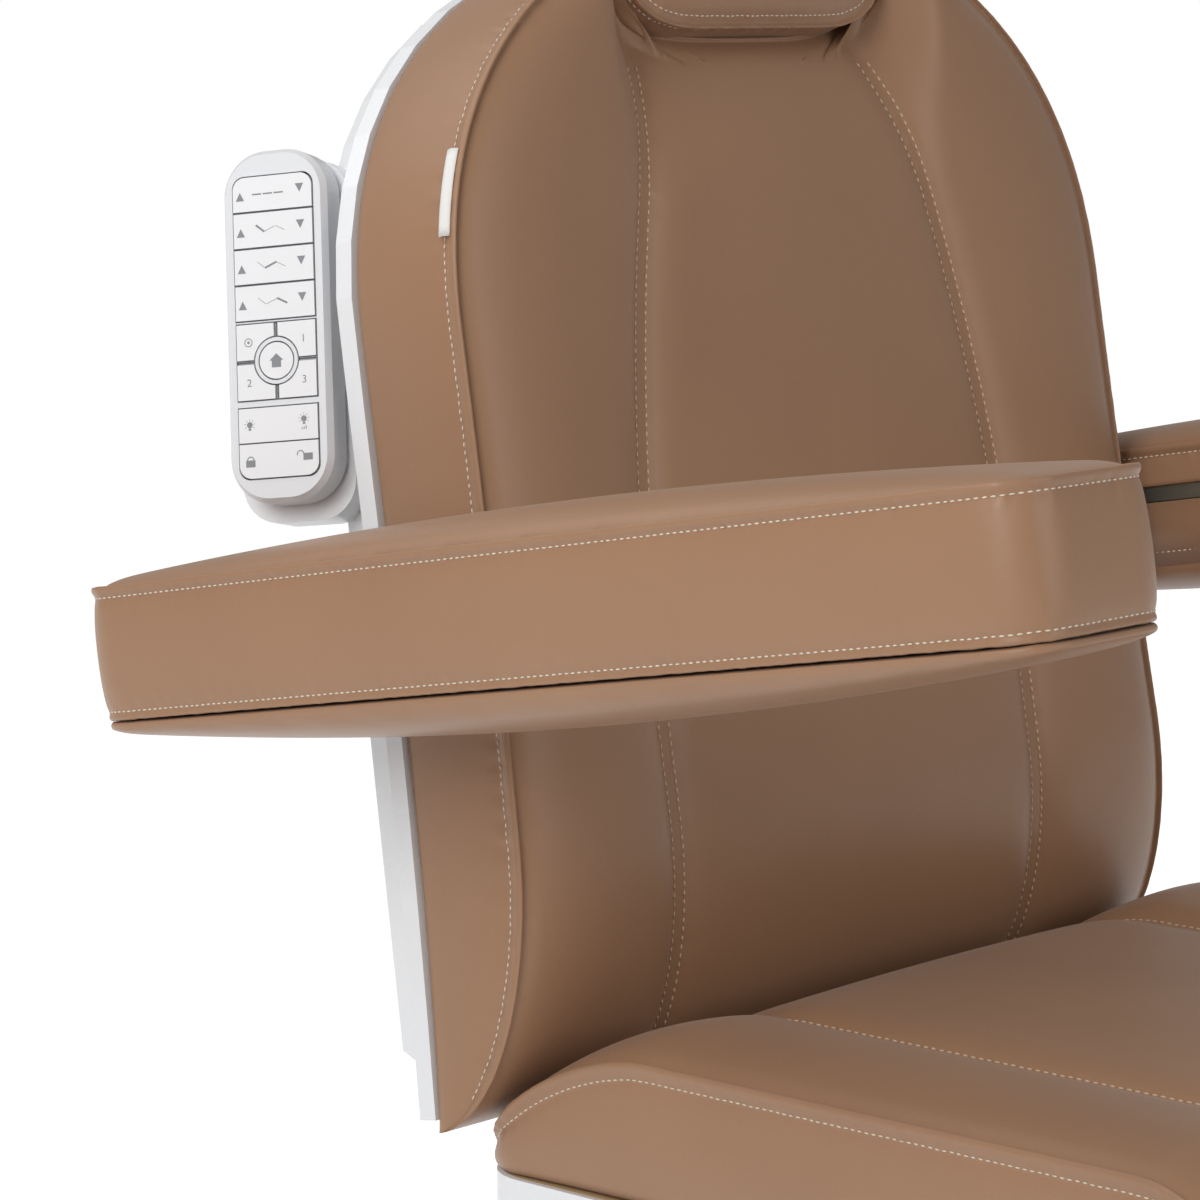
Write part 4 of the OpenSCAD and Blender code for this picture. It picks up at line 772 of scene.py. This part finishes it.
def armrest(side, word, seed):
    places = Matrix.Translation(at_back + Vector((side * 310, 0, 0)) * MM) @ Matrix(
        ((side, 0, 0), out_back, up_back)).transposed().to_4x4()
    body = "armrest_" + word
    pad = Cushion("armrest_" + word + "_padding", places, arm_columns, arm_rows, arm_plan,
                  arm_crown, lambda a, b: ARM_TOP + a * 0, ARM_SIDE, lambda a, b: ARM_LOW + a * 0)
    pad.close().refine()
    upper, lower = arm_seam(pad, 328, 0.8), arm_seam(pad, 267, 0.8)
    pad.pull_in([upper], 0.5, 2.4, 0.3, 8, seed)
    pad.pull_in([lower], 0.5, 2.4, 0.3, 8, seed + 1)
    pad.stitch(body + "_upper_threads", [upper], 4.2, 0.5, pale_thread, body)
    pad.stitch(body + "_lower_threads", [lower], 4.2, 0.5, pale_thread, body)
    joined(pad.piece, box_shape("pocket", (-9, -80, 250), (77.4, 505, ARM_INNER)), "DIFFERENCE")
    pad.finish(body, "armrest_pad_" + word)
    # The belly faces down, so it is made upside down and turned over.
    down = places @ Matrix.Diagonal((1, 1, -1, 1))
    belly = Cushion("armrest_" + word + "_belly", down, arm_columns, arm_rows, arm_plan,
                    belly_crown, lambda a, b: -(ARM_LOW - 4) + a * 0, BELLY_SIDE,
                    lambda a, b: -(ARM_LOW - 0.4) + a * 0)
    belly.close().refine()
    tongue = box_shape("tongue", (1.2, -79, -ARM_UNDER), (76.6, 504, -ARM_LOW - 0.2 + 4))
    joined(belly.piece, tongue, "UNION")
    belly.finish(body, "armrest_under_" + word)


armrest(-1, "right", 41)
armrest(1, "left", 51)

# %% [markdown]
# ## Keypad prints and a blank tag
# The keys carry small printed signs: arrows, a reclining line with the moving section drawn
# heavy, plain numbers, a house, lamps and locks. Dark grey strips in the gaps round the keys are
# painted shade.
# Each print is a flat mesh just above its key, so it moves with the key.

# %% Tools for prints
pad_places = Matrix.Translation(Vector((-300, 449.5, 948.4)) * MM) @ (
    Matrix.Rotation(math.radians(-69.2), 4, "Z") @ Matrix.Rotation(math.radians(79.2), 4, "X")
    @ Matrix.Rotation(math.radians(6.2), 4, "Z"))
PRINT_Z, GAP_SHADE_Z = 0.86, -0.7


class Print:
    def __init__(self):
        self.points, self.faces = [], []

    def area(self, outline):
        self.faces.append([len(self.points) + k for k in range(len(outline))])
        self.points += [tuple(p) for p in outline]

    def line(self, width, *stops):
        """Straight strokes from stop to stop."""
        for p, q in zip(stops, stops[1:]):
            p, q = np.array(p, float), np.array(q, float)
            way = (q - p) / np.linalg.norm(q - p) * width / 2
            side = np.array((way[1], -way[0]))
            self.area([p - way + side, q + way + side, q + way - side, p - way - side])

    def arc(self, x, y, r, width, start=0, end=360, steps=28):
        turn = np.radians(np.linspace(start, end, steps + 1))
        inner, outer = [[(x + reach * math.cos(t), y + reach * math.sin(t)) for t in turn]
                        for reach in (r - width / 2, r + width / 2)]
        for k in range(steps):
            self.area([inner[k], outer[k], outer[k + 1], inner[k + 1]])

    def disc(self, x, y, r, steps=20):
        turn = np.arange(steps) * 2 * math.pi / steps
        self.area([(x + r * math.cos(t), y + r * math.sin(t)) for t in turn])

    def word(self, letters, x, y, size):
        """Letters from the built-in font, turned into a mesh before they are placed."""
        data = bpy.data.curves.new("letters", "FONT")
        data.body, data.size = letters, size
        data.align_x, data.align_y = "CENTER", "CENTER"
        letter = bpy.data.objects.new("letters", data)
        bpy.context.scene.collection.objects.link(letter)
        mesh = bpy.data.meshes.new_from_object(
            letter.evaluated_get(bpy.context.evaluated_depsgraph_get()))
        for face in mesh.polygons:
            corners = [mesh.vertices[v].co for v in face.vertices]
            self.area([(c.x + x, c.y + y) for c in corners])
        bpy.data.objects.remove(letter)

    def lay(self, name, body, material, height):
        mesh = bpy.data.meshes.new(name)
        mesh.from_pydata([(x, y, height) for x, y in self.points], [], self.faces)
        mesh.transform(pad_places @ Matrix.Scale(MM, 4))
        mesh.materials.append(material)
        piece = bpy.data.objects.new(name, mesh)
        bpy.context.scene.collection.objects.link(piece)
        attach(piece, body)
        return piece


ink, _ = surface("printing_ink_grey", "#85878b", 0.6)
# Painted shade: a dark grey for the strips laid in the gaps between the keys.
gap_shade_grey, _ = surface("painted_gap_shade_grey", "#5f6164", 0.7)

# %% Keypad prints
HOME_Y = -19.45
ROW_YS = (73, 53, 33, 13)
RING_R = 13.2
CORNER_R = 7
RECLINE = [(-10, 2.6), (-5.2, -1.2), (1.6, 1.6), (7.4, -1.4)]


def arrows(sign, y):
    sign.area([(-21.8, y - 3.4), (-16.8, y - 3.4), (-19.3, y + 1.4)])
    sign.area([(14.0, y + 3.6), (16.5, y - 1.2), (19.0, y + 3.6)])


def recline_sign(body, y, heavy):
    sign = Print()
    arrows(sign, y)
    for k, (p, q) in enumerate(zip(RECLINE, RECLINE[1:])):
        p, q = np.array(p) + (0, y), np.array(q) + (0, y)
        sign.line(1.1 if k == heavy else 0.3, p + (q - p) * 0.06, q - (q - p) * 0.06)
    sign.lay(body + "_print", body, ink, PRINT_Z)


def bulb(sign, x, y):
    sign.disc(x, y, 1.7)
    sign.area([(x - 0.8, y - 3.0), (x + 0.8, y - 3.0), (x + 0.8, y - 1.8), (x - 0.8, y - 1.8)])
    for turn in np.radians(np.arange(-30, 211, 40)):
        ray = np.array((math.cos(turn), math.sin(turn)))
        sign.line(0.3, ray * 2.4 + (x, y), ray * 3.1 + (x, y))


height_sign = Print()
arrows(height_sign, ROW_YS[0])
for x in (-11.5, -5, 1.5):
    height_sign.line(0.8, (x, ROW_YS[0] - 0.3), (x + 4.8, ROW_YS[0] - 0.3))
height_sign.lay("key_height_print", "key_height", ink, PRINT_Z)
for heavy, (body, y) in enumerate(zip(("key_back", "key_seat", "key_leg"), ROW_YS[1:])):
    recline_sign(body, y, heavy)
for body, number, x, y in (("key_memory_1", "1", 16.5, -8.6), ("key_memory_2", "2", -16.5, -31.0),
                           ("key_memory_3", "3", 16.5, -31.0)):
    sign = Print()
    sign.word(number, x, y, 6)
    sign.lay(body + "_print", body, ink, PRINT_Z)
sign = Print()
sign.arc(-16.5, -8.6, 2.2, 0.5)
sign.disc(-16.5, -8.6, 0.8)
sign.lay("key_set_print", "key_set", ink, PRINT_Z)
sign = Print()
sign.area([(-4.2, -19.4), (4.2, -19.4), (0, -15.6)])
sign.area([(-2.8, -23.2), (2.8, -23.2), (2.8, -19.4), (-2.8, -19.4)])
sign.lay("key_home_print", "key_home", ink, PRINT_Z)
sign = Print()
bulb(sign, -17, -53.8)
bulb(sign, 15.5, -52.4)
for k in range(3):
    sign.line(0.5, (14.3 + 1.2 * k, -58), (14.3 + 1.2 * k, -57.4 + 0.5 * k))
sign.lay("key_light_print", "key_light", ink, PRINT_Z)
sign = Print()
sign.area([(-19.8, -77.0), (-14.2, -77.0), (-14.2, -73.2), (-19.8, -73.2)])
sign.arc(-17, -73.2, 1.9, 0.6, 0, 180, 12)
sign.area([(14.6, -75.0), (20.2, -75.0), (20.2, -71.2), (14.6, -71.2)])
sign.arc(12.9, -71.6, 1.9, 0.6, 0, 200, 12)
sign.lay("key_lock_print", "key_lock", ink, PRINT_Z)

# Painted shade: dark grey strips sunk into the gaps round the keys, to darken those gaps.
gap_shade_strips = Print()
for low, high in ((3.2, 82.8), (-40.6, 1.7), (-83.6, -44.4)):
    for x in (-24, 24):
        gap_shade_strips.line(0.7, (x, low + CORNER_R * (low < -80)), (x, high - CORNER_R * (high > 80)))
    for y, rounded in ((low, low < -80), (high, high > 80)):
        gap_shade_strips.line(0.7, (-24 + CORNER_R * rounded, y), (24 - CORNER_R * rounded, y))
for x, turn in ((-17, 90), (17, 0)):
    gap_shade_strips.arc(x, 75.8, 7.25, 0.2, turn, turn + 90, 10)
    gap_shade_strips.arc(x, -76.6, 7.25, 0.2, -turn - 90, -turn, 10)
for y in (63, 43, 23, -64):
    gap_shade_strips.line(1.0, (-24, y), (24, y))
for way in (-1, 1):
    gap_shade_strips.line(1.0, (way * RING_R, HOME_Y), (way * 24, HOME_Y))
    gap_shade_strips.line(1.0, (0, HOME_Y + way * RING_R), (0, HOME_Y + way * 21.15))
gap_shade_strips.arc(0, HOME_Y, 10.4, 0.6)
gap_shade_strips.arc(0, HOME_Y, RING_R, 0.6)
gap_shade_strips.lay("keypad_painted_gap_shade", "handset", gap_shade_grey, GAP_SHADE_Z)
print("keypad prints: 12")

# %% Blank tag in the seam
TAG_LOW, TAG_HIGH, TAG_W = 492, 540, 8
tag_white, _ = surface("woven_tag_white", "#e4e2de", 0.8, Sheen_Weight=0.3)
near = (back.rim[:, 0] < 0) & (back.rim[:, 1] > TAG_LOW) & (back.rim[:, 1] < TAG_HIGH) & (
    back.rim[:, 0] < -150)
order = np.argsort(back.rim[near, 1])
seam, away = back.rim[near][order], back.out[near][order]
seam_up = back.fold[near][order]
tag_points, tag_faces = [], []
for thick in (0, 0.5):
    for t in np.linspace(0, 1, 5):
        lift = 3.2 + thick + 1.2 * math.sin(math.pi * t)
        tag_points += [(*(p + o * lift), u - 1.5 - TAG_W * t)
                       for p, o, u in zip(seam, away, seam_up)]
count = len(seam)
for layer in (0, 1):
    for row in range(4):
        for k in range(count - 1):
            corner = layer * 5 * count + row * count + k
            face = [corner, corner + 1, corner + 1 + count, corner + count]
            tag_faces.append(face if layer else face[::-1])
tag_mesh = bpy.data.meshes.new("seam_tag")
tag_mesh.from_pydata(tag_points, [], tag_faces)
tag = bpy.data.objects.new("seam_tag", tag_mesh)
bpy.context.scene.collection.objects.link(tag)
shape = bmesh.new()
shape.from_mesh(tag_mesh)
bmesh.ops.bridge_loops(shape, edges=[e for e in shape.edges if e.is_boundary])
bmesh.ops.recalc_face_normals(shape, faces=shape.faces)
shape.to_mesh(tag_mesh)
shape.free()
dress(tag, tag_white, back_places)
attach(tag, "back")
print("tag points:", len(tag_points))

# %% [markdown]
# ## Studio
# The floor and the air look white to the camera, but the light on the chair comes from soft
# lamps, so its own colours keep their values.

# %% Floor, air and lamps
def backdrop_white(name, colour, share):
    """White to the camera and in reflections, and still able to hold a shadow."""
    material, shader = surface(name, colour, 0.9)
    path = add(material, "ShaderNodeLightPath")
    seen = add(material, "ShaderNodeMath", {0: path.outputs["Is Camera Ray"],
                                            1: path.outputs["Is Glossy Ray"]}, operation="MAXIMUM")
    glow = add(material, "ShaderNodeEmission", {"Color": (1, 1, 1, 1), "Strength": share})
    off = add(material, "ShaderNodeEmission", {"Color": (1, 1, 1, 1), "Strength": 0.0})
    lit = add(material, "ShaderNodeMixShader",
              {0: seen.outputs[0], 1: off.outputs[0], 2: glow.outputs[0]})
    both = add(material, "ShaderNodeAddShader", {0: shader.outputs[0], 1: lit.outputs[0]})
    output = material.node_tree.nodes["Material Output"]
    material.node_tree.links.new(both.outputs[0], output.inputs["Surface"])
    return material


floor_shape = bmesh.new()
bmesh.ops.create_grid(floor_shape, x_segments=1, y_segments=1, size=40)
floor_mesh = bpy.data.meshes.new("studio_floor")
floor_shape.to_mesh(floor_mesh)
floor_shape.free()
floor = bpy.data.objects.new("studio_floor", floor_mesh)
bpy.context.scene.collection.objects.link(floor)
floor_mesh.materials.append(backdrop_white("studio_paper", "#f2f2f2", 0.75))

world = bpy.data.worlds.new("studio_air")
world.use_nodes = True
bpy.context.scene.world = world
air = world.node_tree.nodes["Background"]
air.inputs["Color"].default_value = (1, 1, 1, 1)
path = world.node_tree.nodes.new("ShaderNodeLightPath")
white = world.node_tree.nodes.new("ShaderNodeMapRange")
world.node_tree.links.new(path.outputs["Is Camera Ray"], white.inputs["Value"])
white.inputs["To Min"].default_value = 0.32
white.inputs["To Max"].default_value = 1.0
world.node_tree.links.new(white.outputs["Result"], air.inputs["Strength"])


def softbox(name, place, target, width, height, watts):
    data = bpy.data.lights.new(name, "AREA")
    data.shape, data.size, data.size_y, data.energy = "RECTANGLE", width, height, watts
    lamp = bpy.data.objects.new(name, data)
    lamp.location = place
    lamp.rotation_euler = (Vector(target) - Vector(place)).to_track_quat("-Z", "Y").to_euler()
    bpy.context.scene.collection.objects.link(lamp)


softbox("overhead_box", (-1.0, 1.2, 2.7), (0, 0.2, 0.7), 2.0, 2.0, 20)
softbox("side_box", (-3.2, -0.4, 2.3), (0, 0.2, 0.7), 1.8, 1.8, 60)
softbox("front_box", (0.4, -3.2, 1.9), (0, 0.2, 0.8), 1.6, 1.6, 22)

bpy.context.scene.view_settings.view_transform = "Standard"
